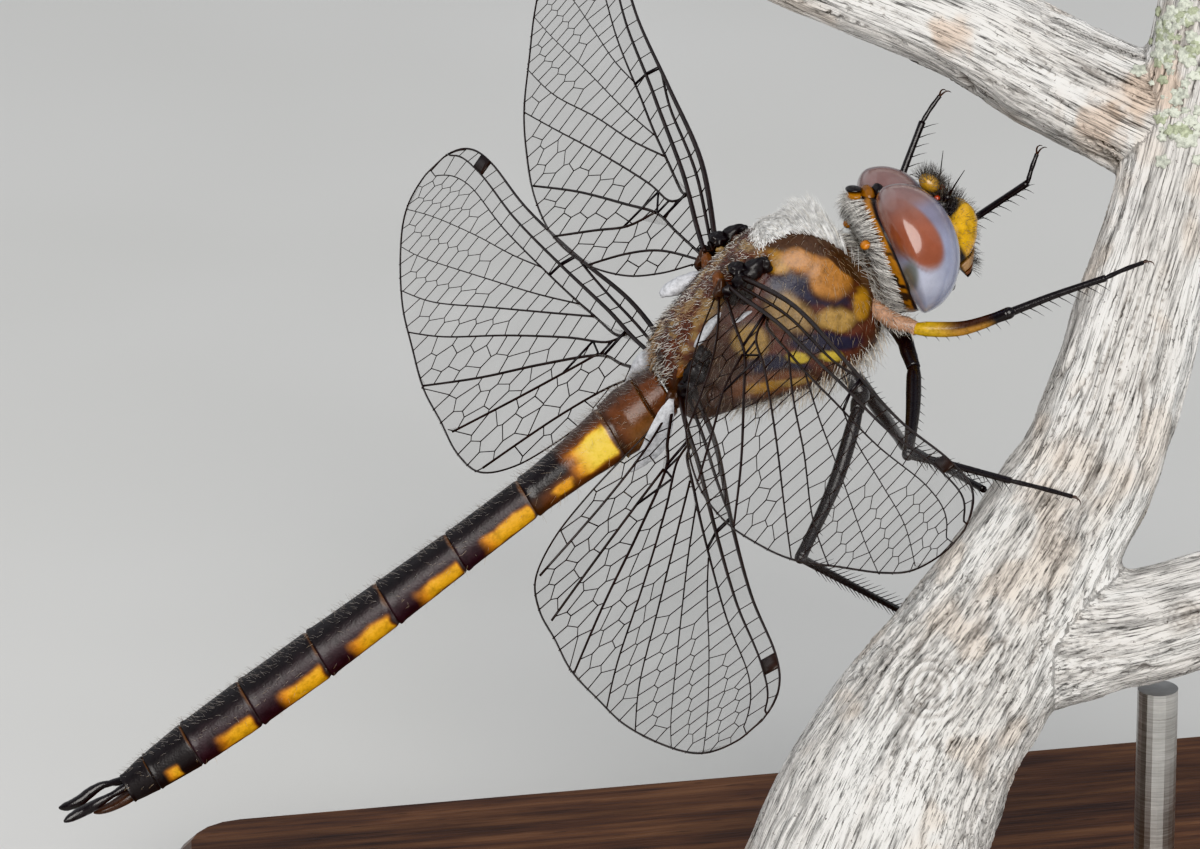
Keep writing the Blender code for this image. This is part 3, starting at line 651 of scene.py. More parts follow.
def build_wing(name, plan, side, rng):
    """The film and the veins of one wing."""
    wing = Wing(plan, side, rng)
    film, veins = Shape(), Shape()
    starts, ends = [], []
    for index in range(len(wing.lines) - 1):
        upper, lower = wing.lines[index][1], wing.lines[index + 1][1]

        def lift(points):
            spans, chords = points[:, 0], points[:, 1]
            top, bottom = np.interp(spans, wing.spans, upper), np.interp(spans, wing.spans, lower)
            share = np.clip((chords - bottom) / np.maximum(top - bottom, 1e-6), 0.0, 1.0)
            level = wing.height(index + 1, spans) * (1.0 - share) + wing.height(index, spans) * share
            return np.stack([chords, spans, level], axis=1)

        for polygon in wing.cells(index):
            flat = np.array(polygon)
            rim = lift(flat)
            middle = rim.mean(axis=0) + (0.0, 0.0, FIELD_HEIGHT * rng.uniform(-1.0, 1.0))
            count = len(rim)
            film.add(np.vstack([rim, middle]), [(i, (i + 1) % count, count) for i in range(count)])
            on_top = np.abs(flat[:, 1] - np.interp(flat[:, 0], wing.spans, upper)) < 0.012
            on_bottom = np.abs(flat[:, 1] - np.interp(flat[:, 0], wing.spans, lower)) < 0.012
            for i in range(count):
                j = (i + 1) % count
                inner = not (on_top[i] and on_top[j]) and not (on_bottom[i] and on_bottom[j])
                if inner and np.hypot(*(flat[i] - flat[j])) > 0.06:
                    starts.append(rim[i])
                    ends.append(rim[j])
    starts, ends = np.array(starts), np.array(ends)
    middles = np.round((starts + ends) / 2.0, 2)
    first = np.unique(middles[:, :2], axis=0, return_index=True)[1]
    starts, ends = starts[first], ends[first]
    toward_tip = ease(starts[:, 1], 0.0, wing.spans[-1])
    veins.add(*rods(starts, ends, CROSS_VEIN * (1.25 - 0.4 * toward_tip)), tint=VEIN_BLACK)
    add_long_veins(wing, veins)
    add_wing_marks(wing, veins)
    matrix = wing_matrix(plan, side)
    add_piece(name + "_film", film, matrix, "membrane", [name])
    add_piece(name + "_veins", veins, matrix, "vein", [name])


def add_long_veins(wing, veins):
    """The lengthwise veins, each from where it leaves its parent to the wing's edge."""
    for index, (_, chord, radius, _) in enumerate(wing.lines):
        own = np.ones(len(chord), bool)
        if index:
            own &= wing.lines[index - 1][1] - chord > 0.004
        own &= chord - wing.hind > 0.004
        stations = np.flatnonzero(own)
        if len(stations) < 4:
            continue
        spans = wing.spans[stations[0]:stations[-1] + 1:3]
        path = np.stack([np.interp(spans, wing.spans, chord), spans, wing.height(index, spans)], axis=1)
        taper = 1.30 - 0.80 * ease(spans, -1.0, wing.spans[-1])
        veins.add(*tube(path, radius * taper, 6, up=(1.0, 0.0, 0.0)), tint=VEIN_BLACK)
    add_rim(wing, veins)


def add_rim(wing, veins):
    """The margin: from the front edge near the tip, round the tip and back to the hinge."""
    edge = smooth_line(wing.plan["outline"], 8)
    tip = int(edge[:, 0].argmax())
    rim, past_tip = edge[tip - 10:], np.arange(len(edge) - tip + 10) - 10
    inward = np.where(past_tip < 0, -1.0, 1.0) * RIM_INSET * ease(np.abs(past_tip), 0, 4)
    spans = np.minimum(rim[:, 0], wing.spans[-1])
    path = np.stack([rim[:, 1] + inward, spans, np.zeros(len(spans))], axis=1)
    veins.add(*tube(path, HIND_EDGE_VEIN, 6, up=(1.0, 0.0, 0.0)), tint=VEIN_BLACK)


def add_wing_marks(wing, veins):
    """Pterostigma, nodus, arculus and triangle."""
    costa, radius = wing.front, wing.lines[2][1]
    low, high = wing.plan["stigma"]
    spans = np.linspace(low, high, 9)
    top, bottom = np.interp(spans + 0.15, wing.spans, costa), np.interp(spans - 0.15, wing.spans, radius)
    rims = []
    for lift in (0.045, -0.045):
        level = (wing.height(0, spans) + wing.height(2, spans)) / 2.0 + lift
        rims.append(np.stack([np.r_[top, bottom[::-1]], np.r_[spans + 0.15, spans[::-1] - 0.15],
                              np.r_[level, level[::-1]]], axis=1))
    count = len(rims[0])
    faces = [(i, count + i, count + (i + 1) % count, (i + 1) % count) for i in range(count)]
    faces += [tuple(range(count)), tuple(range(count, 2 * count))[::-1]]
    veins.add(np.vstack(rims), faces, tint=STIGMA_BROWN)

    def on_vein(index, span):
        across = float(np.interp(span, wing.spans, wing.lines[index][1]))
        return across, span, float(wing.height(index, span))

    nodus, arculus = wing.plan["nodus"], wing.plan["arculus"]
    near, far = wing.plan["triangle"]
    strokes = [
        (on_vein(0, nodus - 0.1), on_vein(2, nodus + 0.15), 0.075),
        (on_vein(2, nodus + 0.15), on_vein(3, nodus + 0.45), 0.055),
        (on_vein(2, arculus), on_vein(8, arculus + 0.1), 0.055),
        (on_vein(7, near), on_vein(8, near), 0.045),
        (on_vein(7, far), on_vein(8, near), 0.045),
        (on_vein(7, far), on_vein(9, far - 0.3), 0.045),
    ]
    for start, end, thick in strokes:
        veins.add(*tube(np.linspace(start, end, 3), thick, 6), tint=BLACK)


# --- thorax -------------------------------------------------------------------------
# x, height of middle, half width, half height: the thorax, then the neck in front of it
THORAX_SHAPE = [
    (-5.42, 0.25, 0.10, 0.10), (-5.3, 0.25, 1.10, 1.20), (-4.7, 0.50, 1.55, 1.90),
    (-3.4, 0.62, 2.03, 2.33), (-1.8, 0.65, 2.30, 2.85), (-0.2, 0.60, 2.38, 3.25),
    (1.3, 0.58, 2.30, 3.35), (2.3, 0.60, 2.03, 3.05), (2.9, 0.40, 1.63, 2.45),
    (3.3, 0.10, 1.10, 1.75), (3.50, -0.12, 0.95, 1.20), (3.75, -0.05, 0.85, 1.00),
    (4.2, 0.10, 0.55, 0.60), (4.6, 0.20, 0.10, 0.10),
]
THORAX_SQUARENESS = 2.6
SIDE_DARK, SIDE_BROWN, SIDE_LINE = (0.090, 0.030, 0.020), (0.13, 0.050, 0.022), (0.040, 0.016, 0.011)
SIDE_AMBER, SIDE_ORANGE, SIDE_OCHRE = (0.30, 0.15, 0.020), (0.33, 0.145, 0.038), (0.32, 0.195, 0.060)
SIDE_TAN, SIDE_YELLOW = (0.26, 0.165, 0.070), (0.47, 0.34, 0.040)
UNDER_CREST, BELLY_BROWN = (0.055, 0.028, 0.017), (0.20, 0.13, 0.085)
LINE_REACH = 1.22                 # how far past a swollen mark its dark outline reaches
# marks on each side: colour, x, z, half length, half height, tilt in degrees, how far it swells
SIDE_MARKS = [
    (SIDE_DARK, 0.6, 1.0, 3.1, 2.6, -35.0, 0.0),
    (NAVY, 0.9, 2.05, 1.15, 0.66, -46.0, 0.0),
    (NAVY, 1.75, 0.85, 0.75, 0.30, -46.0, 0.0),
    (NAVY, 0.75, -0.50, 1.55, 0.42, -36.0, 0.0),
    (NAVY, -1.30, -0.30, 1.25, 0.50, -43.0, 0.0),
    (SIDE_BROWN, 1.60, 2.85, 0.95, 0.55, -51.0, 0.03),
    (SIDE_AMBER, 0.87, 3.35, 0.62, 0.46, 59.0, 0.06),
    (SIDE_ORANGE, 1.55, 2.90, 0.80, 0.44, -51.0, 0.06),
    (SIDE_ORANGE, 2.25, 1.65, 0.92, 0.86, -50.0, 0.10),
    (SIDE_AMBER, 2.68, -0.10, 0.62, 0.42, 59.0, 0.07),
    (SIDE_OCHRE, 1.48, 0.10, 0.82, 0.44, -36.0, 0.07),
    (SIDE_TAN, 0.12, 1.40, 1.02, 0.62, -66.0, 0.10),
    (SIDE_YELLOW, -0.46, -0.42, 0.42, 0.24, -36.0, 0.05),
    (SIDE_YELLOW, 0.68, -1.18, 0.48, 0.22, -36.0, 0.05),
    (SIDE_OCHRE, -1.72, 1.25, 0.72, 0.64, -60.0, 0.08),
    (SIDE_BROWN, -1.85, -0.95, 1.70, 0.56, -27.0, 0.03),
    (SIDE_AMBER, -2.25, -0.80, 0.72, 0.30, -27.0, 0.04),
    (SIDE_OCHRE, -1.05, -1.35, 0.75, 0.22, -27.0, 0.03),
]
FRONT_EDGE = [(0.4, 3.85), (0.85, 3.62), (1.82, 3.05), (2.51, 2.25), (2.91, 1.0), (3.2, 0.0)]
BACK_EDGE = [(-5.4, 0.75), (-5.0, 1.15), (-1.25, 3.25), (1.0, 3.45)]   # x, z where the hairy back begins
CREST_FROM, CREST_TO = 0.15, 3.25         # where along the thorax the white crest stands
CREST_HALF = 1.15                         # how far it spreads to each side


def on_back(at):
    """1 over the hairy back between the wings."""
    edge = np.interp(at[:, 0], *np.array(BACK_EDGE).T)
    return ease(at[:, 2] - edge, -0.25, 0.30) * ease(at[:, 0], 0.9, 0.4)


def mark_mask(x, z, mark, soft=0.22, reach=1.0):
    """1 inside a tilted oval mark, falling to 0 across its soft rim."""
    _, at_x, at_z, long_half, high_half, tilt, _ = mark
    long_half, high_half, turn = long_half * reach, high_half * reach, math.radians(tilt)
    along = ((x - at_x) * math.cos(turn) + (z - at_z) * math.sin(turn)) / long_half
    across = (-(x - at_x) * math.sin(turn) + (z - at_z) * math.cos(turn)) / high_half
    return 1.0 - ease(np.hypot(along, across), 1.0 - soft, 1.0 + soft)


def thorax_colours(points):
    """The markings of the thorax, for its skin and for the hair that grows from it."""
    wobble = np.stack([lattice_noise(points, 0.55, seed) for seed in (1, 2)], axis=1) * 0.10
    x, z = points[:, 0] + wobble[:, 0], points[:, 2] + wobble[:, 1]
    colours = np.broadcast_to(DARK_BROWN, points.shape).astype(float)
    lobes = [mark for mark in SIDE_MARKS if mark[6] > 0.0]
    for mark in SIDE_MARKS[:SIDE_MARKS.index(lobes[0])]:
        colours = blend(colours, mark_mask(x, z, mark), mark[0])
    for mark in lobes:
        colours = blend(colours, mark_mask(x, z, mark, 0.12, LINE_REACH) * 0.85, SIDE_LINE)
    for mark in lobes:
        colours = blend(colours, mark_mask(x, z, mark), mark[0])
    blotch = lattice_noise(points, 0.5, 5, 3)
    edge = np.interp(x, *np.array(FRONT_EDGE).T)
    colours = blend(colours, ease(z - edge, -0.08, 0.14) * ease(x, 0.3, 0.7), UNDER_CREST)
    back = on_back(points)
    colours = blend(colours, back, SIDE_DARK)
    colours = blend(colours, back * ease(blotch, 0.0, 0.35), SIDE_TAN)
    colours = blend(colours, back * ease(-blotch, 0.15, 0.4), DARK_BROWN)
    colours = blend(colours, ease(points[:, 2], -1.9, -2.4), BELLY_BROWN)
    return blend(colours, ease(points[:, 0], 3.05, 3.4), SKIN_BROWN)


def thorax_surface():
    """The skin, with its marks swollen and shallow seams between them."""
    points, around, faces = loft(THORAX_SHAPE, 168, 14, THORAX_SQUARENESS)
    normals = point_normals(points, faces)
    swell = np.zeros(len(points))
    for mark in SIDE_MARKS:
        swell = np.maximum(swell, mark[6] * mark_mask(points[:, 0], points[:, 2], mark, 0.5))
    sutures = np.abs(lattice_noise(points * (1.0, 0.3, 1.0), (1.3, 1.0, 1.3), 9))
    swell -= 0.05 * (1.0 - ease(sutures, 0.0, 0.08)) * (swell < 0.02)
    swell += 0.012 * lattice_noise(points, 0.25, 3, 2)
    return points + normals * swell[:, None], around, faces


def build_thorax():
    """The thorax with the wings' roots; returns its skin for its hair."""
    points, around, faces = thorax_surface()
    add_piece("thorax_skin", Shape().add(points, faces, thorax_colours(points)), BODY, "thorax",
              ["thorax", "prothorax"])
    add_wing_roots()
    return points, around, faces


def lump(shape, centre, size, tint, seed, turn=(0.0, 0.0, 0.0), rough=0.10):
    """A worn, slightly uneven ellipsoid."""
    points, faces = ball((0.0, 0.0, 0.0), size, 20, 28)
    points = points * (1.0 + rough * lattice_noise(points, 0.45 * max(size), seed, 2))[:, None]
    turned = points @ np.array(Euler([math.radians(a) for a in turn]).to_matrix()).T
    shape.add(turned + np.asarray(centre), faces, tint)


# plates at each hinge: offset from it (y towards the middle), size and colour
FOREWING_PLATES = [
    ((1.00, 0.02, 0.08), (0.56, 0.42, 0.40), BLACK), ((0.58, 0.20, 0.32), (0.46, 0.40, 0.30), BLACK),
    ((1.46, 0.12, -0.04), (0.40, 0.32, 0.28), BLACK), ((0.42, -0.22, -0.10), (0.44, 0.38, 0.36), BLACK),
    ((-0.14, -0.30, -0.20), (0.42, 0.36, 0.26), BLACK), ((0.25, -0.38, -0.48), (0.34, 0.30, 0.32), BLACK),
    ((-0.42, 0.25, 0.00), (0.40, 0.42, 0.20), DARK_BROWN),
    ((-0.30, 0.90, 0.10), (0.42, 0.30, 0.18), SIDE_BROWN),
    ((0.45, 0.95, 0.10), (0.30, 0.28, 0.16), SIDE_TAN), ((1.05, 0.62, 0.06), (0.34, 0.28, 0.20), DARK_BROWN),
]
HINDWING_PLATES = [
    ((1.16, 0.18, 0.66), (0.56, 0.36, 0.46), BLACK), ((1.76, 0.26, 1.08), (0.44, 0.30, 0.40), BLACK),
    ((0.54, 0.14, 0.25), (0.50, 0.38, 0.38), BLACK), ((1.24, 0.24, -0.60), (0.42, 0.26, 0.44), DARK_BROWN),
    ((-0.10, 0.35, 0.12), (0.36, 0.36, 0.22), DARK_BROWN), ((0.75, 0.75, 0.75), (0.36, 0.28, 0.22), BROWN),
]
# white cords and lobes in the body's frame: how flat each is, then its x, y, z and half thickness
CORDS = [
    (0.75, [(-1.50, 1.62, 2.66, 0.10), (-1.90, 1.62, 2.80, 0.34), (-2.66, 1.60, 3.00, 0.44),
            (-3.35, 1.58, 3.10, 0.38), (-3.74, 1.55, 3.14, 0.12)]),
    (0.80, [(-3.95, 1.50, 0.92, 0.12), (-4.35, 1.50, 1.00, 0.42), (-5.05, 1.50, 1.10, 0.52),
            (-5.80, 1.50, 1.06, 0.42), (-6.25, 1.50, 1.00, 0.12)]),
    (0.60, [(-2.12, -1.76, 2.68, 0.08), (-2.34, -1.76, 2.58, 0.20), (-2.82, -1.74, 2.38, 0.27),
            (-3.38, -1.70, 2.10, 0.24), (-3.66, -1.66, 1.96, 0.08)]),
    (0.60, [(-1.06, -2.22, 2.26, 0.05), (-1.30, -2.20, 2.25, 0.12), (-1.72, -2.16, 2.21, 0.13),
            (-1.95, -2.12, 2.18, 0.05)]),
]
CORDS += [(0.28, [(-5.45, side * 2.28, 0.88, 0.10), (-5.95, side * 2.33, 0.46, 0.36),
                  (-6.75, side * 2.40, -0.22, 0.50), (-7.45, side * 2.46, -0.52, 0.36),
                  (-8.25, side * 2.52, -0.74, 0.06)]) for side in (-1.0, 1.0)]
CORD_CLEAR = 0.10                 # how far round a cord the skin stays bare
FAR_SINK = 0.28                   # the left forewing is turned so that its plates lie lower


def near_cords(at):
    """1 where a cord or lobe lies on the skin, so no hair hides it."""
    found = np.zeros(len(at))
    for _, rows in CORDS:
        for x, y, z, half in smooth_line(rows, 4):
            found = np.maximum(found, np.linalg.norm(at - (x, y, z), axis=1) < half + CORD_CLEAR)
    return found


def add_wing_roots():
    """Black shoulder plates and sclerites at each hinge, and the white cords behind them."""
    plates, cords = Shape(), Shape()
    for side in (-1.0, 1.0):
        for wing, rows, seed in ((FOREWING, FOREWING_PLATES, 21), (HINDWING, HINDWING_PLATES, 41)):
            x, y, z = wing["hinge"]
            for number, ((ahead, inward, up), size, colour) in enumerate(rows):
                sink = FAR_SINK if side > 0.0 and wing is FOREWING else 0.0
                lump(plates, (x + ahead, side * (y - inward), z + up - sink), size, colour, seed + number,
                     turn=(37.0 * number, 23.0 * number, 61.0 * number), rough=0.42)
    for number, (flat, rows) in enumerate(CORDS):
        line = smooth_line(rows, 6)
        upright = (0.0, 1.0, 0.2) if flat < 0.5 else (0.0, 0.2, 1.0)
        points, faces = tube(line[:, :3], line[:, 3], 22, flat=flat, up=upright)
        cords.add(points + 0.035 * lattice_noise(points, 0.22, 61 + number, 3)[:, None], faces, CORD_WHITE)
    add_piece("wing_root_plates", plates, BODY, "thorax")
    add_piece("wing_root_cords", cords, BODY, "cord")


# --- abdomen ------------------------------------------------------------------------
ABDOMEN_FRONT = -5.5
SEGMENT_LENGTHS = [0.9, 1.7, 4.1, 3.45, 3.3, 3.3, 3.25, 2.8, 1.9, 1.15]
ABDOMEN_GIRTH = [                 # distance from the waist, half width, half height
    (0.0, 1.05, 1.05), (0.9, 1.30, 1.25), (1.8, 1.38, 1.32), (2.6, 1.20, 1.20), (4.4, 0.98, 1.00),
    (6.7, 0.86, 0.88), (10.0, 0.92, 0.90), (13.5, 1.04, 0.98), (17.0, 1.14, 1.05),
    (20.5, 1.14, 1.03), (23.0, 1.02, 0.95), (24.8, 0.82, 0.78), (25.9, 0.62, 0.60),
]
ABDOMEN_DROOP = (0.28, -3.6, 1.05)         # height at the waist, then slope and bend along the abdomen
SEGMENT_SIDES = 72
FRONT_SEGMENTS = 3                # how many segments are brown like the thorax
WAIST_BROWN, GLEAM = (0.20, 0.095, 0.042), (0.040, 0.020, 0.026)
# the joint rings are dark grey, partly a painted sheen, and brown over their upper part
PATCH_GOLD, RING_SHEEN_GREY, RING_BROWN = (0.70, 0.37, 0.030), (0.085, 0.075, 0.075), (0.12, 0.055, 0.025)
# side patch of each segment: from and to along it, from and to down its side in degrees from the top
SIDE_PATCHES = {
    3: (0.02, 0.46, 40.0, 112.0), 4: (0.02, 0.66, 78.0, 132.0), 5: (0.05, 0.62, 84.0, 134.0),
    6: (0.05, 0.60, 86.0, 136.0), 7: (0.05, 0.62, 86.0, 136.0), 8: (0.08, 0.62, 86.0, 134.0),
    9: (0.42, 0.72, 90.0, 124.0),
}


def abdomen_middle(distance):
    """Height of the abdomen's middle at a distance from the waist."""
    t = distance / sum(SEGMENT_LENGTHS)
    start, slope, bend = ABDOMEN_DROOP
    return start + slope * t + bend * t * t


def segment_colours(number, share, down, points):
    """Colours of a segment from the place along it and the angle down from its top."""
    wobble = lattice_noise(points, 0.5, 60 + number, 2)
    down = down + 7.0 * wobble
    share = share + 0.03 * lattice_noise(points, 0.4, 80 + number)
    colours = np.broadcast_to(DARK_BROWN if number <= FRONT_SEGMENTS else BLACK, points.shape).astype(float)
    if number <= FRONT_SEGMENTS:
        colours = blend(colours, ease(share, 0.95, 0.75) * ease(down, 12.0, 34.0), MAHOGANY)
        if number == 2:
            colours = blend(colours, ease(down, 36.0, 70.0) * ease(share, 0.86, 0.62) * 0.9, SIDE_BROWN)
            colours = blend(colours, ease(down, 66.0, 98.0) * ease(share, 0.80, 0.55) * 0.8, WAIST_BROWN)
        colours = blend(colours, ease(down, 118.0, 140.0) * 0.8, DARK_BROWN)
    elif number < 9:
        colours = blend(colours, ease(down, 30.0, 75.0) * 0.55, GLEAM)
    if number in SIDE_PATCHES:
        start, end, top, bottom = SIDE_PATCHES[number]
        inside = (ease(share, start - 0.02, start + 0.04) * ease(share, end + 0.10, end - 0.06)
                  * ease(down, top - 9.0, top + 7.0) * ease(down, bottom + 10.0, bottom - 6.0))
        colours = blend(colours, inside, ORANGE)
        heart = inside ** 3 * ease(share, end + 0.05, end - 0.22)
        colours = blend(colours, heart * 0.85, YELLOW if number == 3 else PATCH_GOLD)
    if number == 3:
        colours = blend(colours, ease(share, 0.50, 0.60) * ease(down, 96.0, 66.0), BLACK)
        spot = ease(share, 0.54, 0.60) * ease(share, 0.80, 0.72)
        colours = blend(colours, spot * ease(down, 86.0, 96.0) * ease(down, 124.0, 116.0), AMBER)
    # joint ring: dark grey, partly a painted sheen, with brown over its upper part
    ring = ease(share, 0.045, 0.015) * 0.75
    colours = blend(colours, ring, RING_SHEEN_GREY)
    return blend(colours, ring * ease(down, 75.0, 50.0), RING_BROWN)


def segment_surface(number, start, length):
    """One tergite: a barrel with a rolled rear rim, a low keel on top and a folded belly."""
    shares = np.r_[-0.02, np.linspace(0.0, 0.08, 6), np.linspace(0.10, 0.90, 26), np.linspace(0.92, 1.0, 7)]
    distance = start + shares * length
    girth = np.array(ABDOMEN_GIRTH).T
    width, height = np.interp(distance, girth[0], girth[1]), np.interp(distance, girth[0], girth[2])
    rim = ease(shares, 0.90, 0.97) * ease(shares, 1.02, 0.985)
    size = 0.955 + 0.035 * rim - 0.075 * ease(shares, 0.05, -0.02) - 0.05 * ease(shares, 0.985, 1.0)
    turn = 2.0 * np.pi * np.arange(SEGMENT_SIDES) / SEGMENT_SIDES
    from_top, from_below = (np.degrees(np.abs(turn - middle * np.pi)) for middle in (0.5, 1.5))
    keel = 0.020 * np.exp(-(from_top / 5.0) ** 2)
    fold = -0.045 * np.exp(-((from_below - 26.0) / 6.0) ** 2)
    flat = -0.05 * np.exp(-(from_below / 20.0) ** 2)
    swell = np.outer(size, 1.0 + keel + fold + flat)
    centre = abdomen_middle(distance)
    points = np.stack([np.repeat(ABDOMEN_FRONT - distance, SEGMENT_SIDES),
                       (-np.cos(turn) * width[:, None] * swell).ravel(),
                       (centre[:, None] + np.sin(turn) * height[:, None] * swell).ravel()], axis=1)
    points[:, 1:] += 0.006 * lattice_noise(points, 0.3, 90 + number, 2)[:, None]
    down = np.degrees(np.arccos(np.clip(np.sin(np.tile(turn, len(shares))), -1.0, 1.0)))
    return points, np.repeat(shares, SEGMENT_SIDES), down, ring_faces(len(shares), SEGMENT_SIDES)


def build_abdomen():
    """The segments and the tail; returns each segment's skin for its hair."""
    start, hairs = 0.0, []
    for number, length in enumerate(SEGMENT_LENGTHS, start=1):
        points, share, down, faces = segment_surface(number, start, length)
        shape = Shape().add(points, faces, segment_colours(number, share, down, points))
        name = "abdomen_%02d" % number
        look = "front_abdomen" if number <= FRONT_SEGMENTS else "abdomen"
        add_piece(name + "_shell", shape, BODY, look, [name])
        hairs.append((points, faces, share, down, number))
        start += length
    build_tail(ABDOMEN_FRONT - start, abdomen_middle(start))
    return hairs


# tail parts behind the last segment: x, y, z and half thickness
CERCUS = [
    (0.20, 0.30, 0.26, 0.15), (-0.1, 0.36, 0.28, 0.17), (-0.5, 0.52, 0.36, 0.13), (-0.9, 0.62, 0.42, 0.16),
    (-1.35, 0.60, 0.42, 0.21), (-1.8, 0.50, 0.40, 0.22), (-2.2, 0.50, 0.43, 0.20), (-2.5, 0.58, 0.48, 0.15),
    (-2.68, 0.66, 0.52, 0.05),
]
EPIPROCT = [
    (0.15, 0.0, -0.28, 0.34), (-0.3, 0.0, -0.30, 0.33), (-0.9, 0.0, -0.28, 0.26),
    (-1.35, 0.0, -0.18, 0.20), (-1.6, 0.0, -0.10, 0.08),
]


def build_tail(x, z):
    """The claspers: long, waisted and sinuous, with a shorter plate between them below."""
    for name, side in both_sides("cercus"):
        line = smooth_line(CERCUS, 5)
        points, faces = tube(line[:, :3] * (1.0, side, 1.0) + (x, 0.0, z), line[:, 3], 20)
        points += 0.012 * lattice_noise(points, 0.15, 70, 2)[:, None]
        add_piece(name + "_horn", Shape().add(points, faces, BLACK), BODY, "leg", [name])
    line = smooth_line(EPIPROCT, 5)
    plate = Shape().add(*tube(line[:, :3] + (x, 0.0, z), line[:, 3], 20, flat=0.7), tint=DARK_BROWN)
    add_piece("epiproct_horn", plate, BODY, "leg", ["epiproct"])


# --- head ---------------------------------------------------------------------------
EYE_AT = (-0.55, 1.66, 0.41)
EYE_FRONT, EYE_REAR, EYE_SIDE, EYE_TALL = 2.04, 1.12, 1.92, 2.57
EYE_REAR_FOOT, EYE_REAR_BEND = 0.45, 1.3
EYE_LEAN, EYE_PITCH = math.radians(12.4), math.radians(19.5)
EYE_SEAM = 0.075
FACE_BACK = 0.85
FACE_SHAPE = [                    # height, how far forward the face reaches, half width
    (0.60, 1.90, 0.75), (0.38, 2.30, 1.10), (0.00, 2.56, 1.35), (-0.40, 2.61, 1.46),
    (-0.80, 2.51, 1.48), (-1.20, 2.22, 1.44), (-1.50, 1.90, 1.38), (-1.75, 1.70, 1.30),
    (-1.98, 1.47, 1.20), (-2.20, 1.29, 1.05), (-2.36, 1.13, 0.85), (-2.55, 0.96, 0.55),
]
FRONS_GOLD, VERTEX_GOLD = (0.56, 0.31, 0.008), (0.44, 0.25, 0.050)
FACE_PLATES = {                   # lowest and highest, and the plate's colour
    "frons": (-1.52, 0.58, FRONS_GOLD), "clypeus": (-1.94, -1.56, CLAY),
    "labrum": (-2.14, -1.97, SIDE_BROWN), "mandibles": (-2.28, -2.17, BLACK),
}
SKULL_SHAPE = [                   # x, height of middle, half width, half height
    (-1.72, 0.05, 0.40, 0.40), (-1.68, 0.05, 1.75, 1.95), (-1.53, 0.05, 2.34, 2.37),
    (-1.18, 0.00, 2.68, 2.56), (-0.50, -0.18, 2.76, 2.38), (0.25, -0.30, 2.50, 2.10),
    (0.68, -0.72, 1.95, 1.65), (0.85, -0.75, 0.30, 0.30),
]
SKULL_TURN = np.array(Matrix.Rotation(math.radians(11.0), 3, "Y"))
EYE_BRICK, EYE_BROWN, EYE_MAUVE = (0.245, 0.078, 0.045), (0.22, 0.100, 0.078), (0.215, 0.130, 0.125)
EYE_BAND, EYE_LAVENDER, EYE_PALE = (0.180, 0.172, 0.245), (0.245, 0.265, 0.370), (0.35, 0.365, 0.45)
EYE_GREEN, EYE_EDGE = (0.130, 0.140, 0.125), (0.15, 0.070, 0.060)


def eye_colours(x, up):
    """Brick red on the eye's middle, mauve over the top and lavender round the front and below.

    x runs forward and up upward from the eye's middle, in millimetres.
    """
    flat = np.stack([x, np.zeros(len(x)), up], axis=1)
    soft = 0.04 * lattice_noise(flat, 1.2, 3)
    colours = np.broadcast_to(EYE_LAVENDER, flat.shape).astype(float)
    colours = blend(colours, ease(up, -0.3, 0.9), EYE_BAND)
    colours = blend(colours, ease(up, -0.1, -1.0) * ease(x, 1.4, 0.2), EYE_PALE)
    colours = blend(colours, ease(up, -1.5, -2.3) * 0.7, EYE_LAVENDER)
    colours = blend(colours, ease(x, 0.0, -0.5) * ease(up, -0.4, 0.2), EYE_MAUVE)
    colours = blend(colours, ease(up, 1.3, 1.9) * ease(x, 2.0, 1.2), EYE_MAUVE)
    patch = np.hypot((up - 0.58) / 1.40, (x - 0.22 + 0.25 * (up - 0.5)) / 0.82) + soft
    colours = blend(colours, ease(patch, 1.16, 0.92), EYE_BROWN)
    colours = blend(colours, ease(patch, 1.06, 0.82) * ease(up, 1.9, 0.6), EYE_BRICK)
    colours = blend(colours, ease(patch, 1.20, 0.80) * ease(up, 1.4, 2.1) * 0.75, EYE_MAUVE)
    rim = ease(np.abs(patch - 1.10), 0.09, 0.0) * ease(up, 0.3, -0.2) * ease(x, 0.6, 0.1)
    colours = blend(colours, rim * 0.6, EYE_EDGE)
    hollow = np.hypot((up + 0.95) / 0.62, (x + 0.38 - 0.15 * (up + 0.95)) / 0.24)
    return blend(colours, ease(hollow, 1.4, 0.6) * 0.9, EYE_GREEN)


def eye_depth(points):
    """How deep the eye is at each point: full in front, flatter behind and thinnest at its foot."""
    height = np.clip(0.5 + 0.5 * points[:, 2] / EYE_TALL, 0.0, 1.0)
    rear = EYE_REAR_FOOT + (EYE_REAR - EYE_REAR_FOOT) * height ** EYE_REAR_BEND
    return np.where(points[:, 0] > 0.0, EYE_FRONT, rear)


def eye_turn(side):
    """The matrix that leans and pitches an eye on its side of the head."""
    return np.array(Matrix.Rotation(EYE_PITCH, 3, "Y") @ Matrix.Rotation(side * EYE_LEAN, 3, "X"))


def outside_eye(points):
    """How far out from the middle of the eye on its side each point lies; 1 is on the eye's face."""
    left = np.stack([points[:, 0], np.abs(points[:, 1]), points[:, 2]], axis=1)
    own = (left - EYE_AT) @ eye_turn(1.0)
    size = np.stack([eye_depth(own), np.full(len(own), EYE_SIDE), np.full(len(own), EYE_TALL)], axis=1)
    return np.linalg.norm(own / size, axis=1)


def build_eyes():
    """The two compound eyes, trimmed to the narrow seam between them."""
    for name, side in both_sides("eye"):
        dome, faces = ball((0.0, 0.0, 0.0), (1.0, EYE_SIDE, EYE_TALL), 96, 128)
        dome[:, 0] *= eye_depth(dome)
        points = dome @ eye_turn(side).T + (EYE_AT[0], side * EYE_AT[1], EYE_AT[2])
        points[:, 1] = side * np.maximum(side * points[:, 1], EYE_SEAM)
        shape = Shape().add(points, faces, eye_colours(dome[:, 0], dome[:, 2]))
        add_piece(name + "_lens", shape, HEAD, "eye", [name])


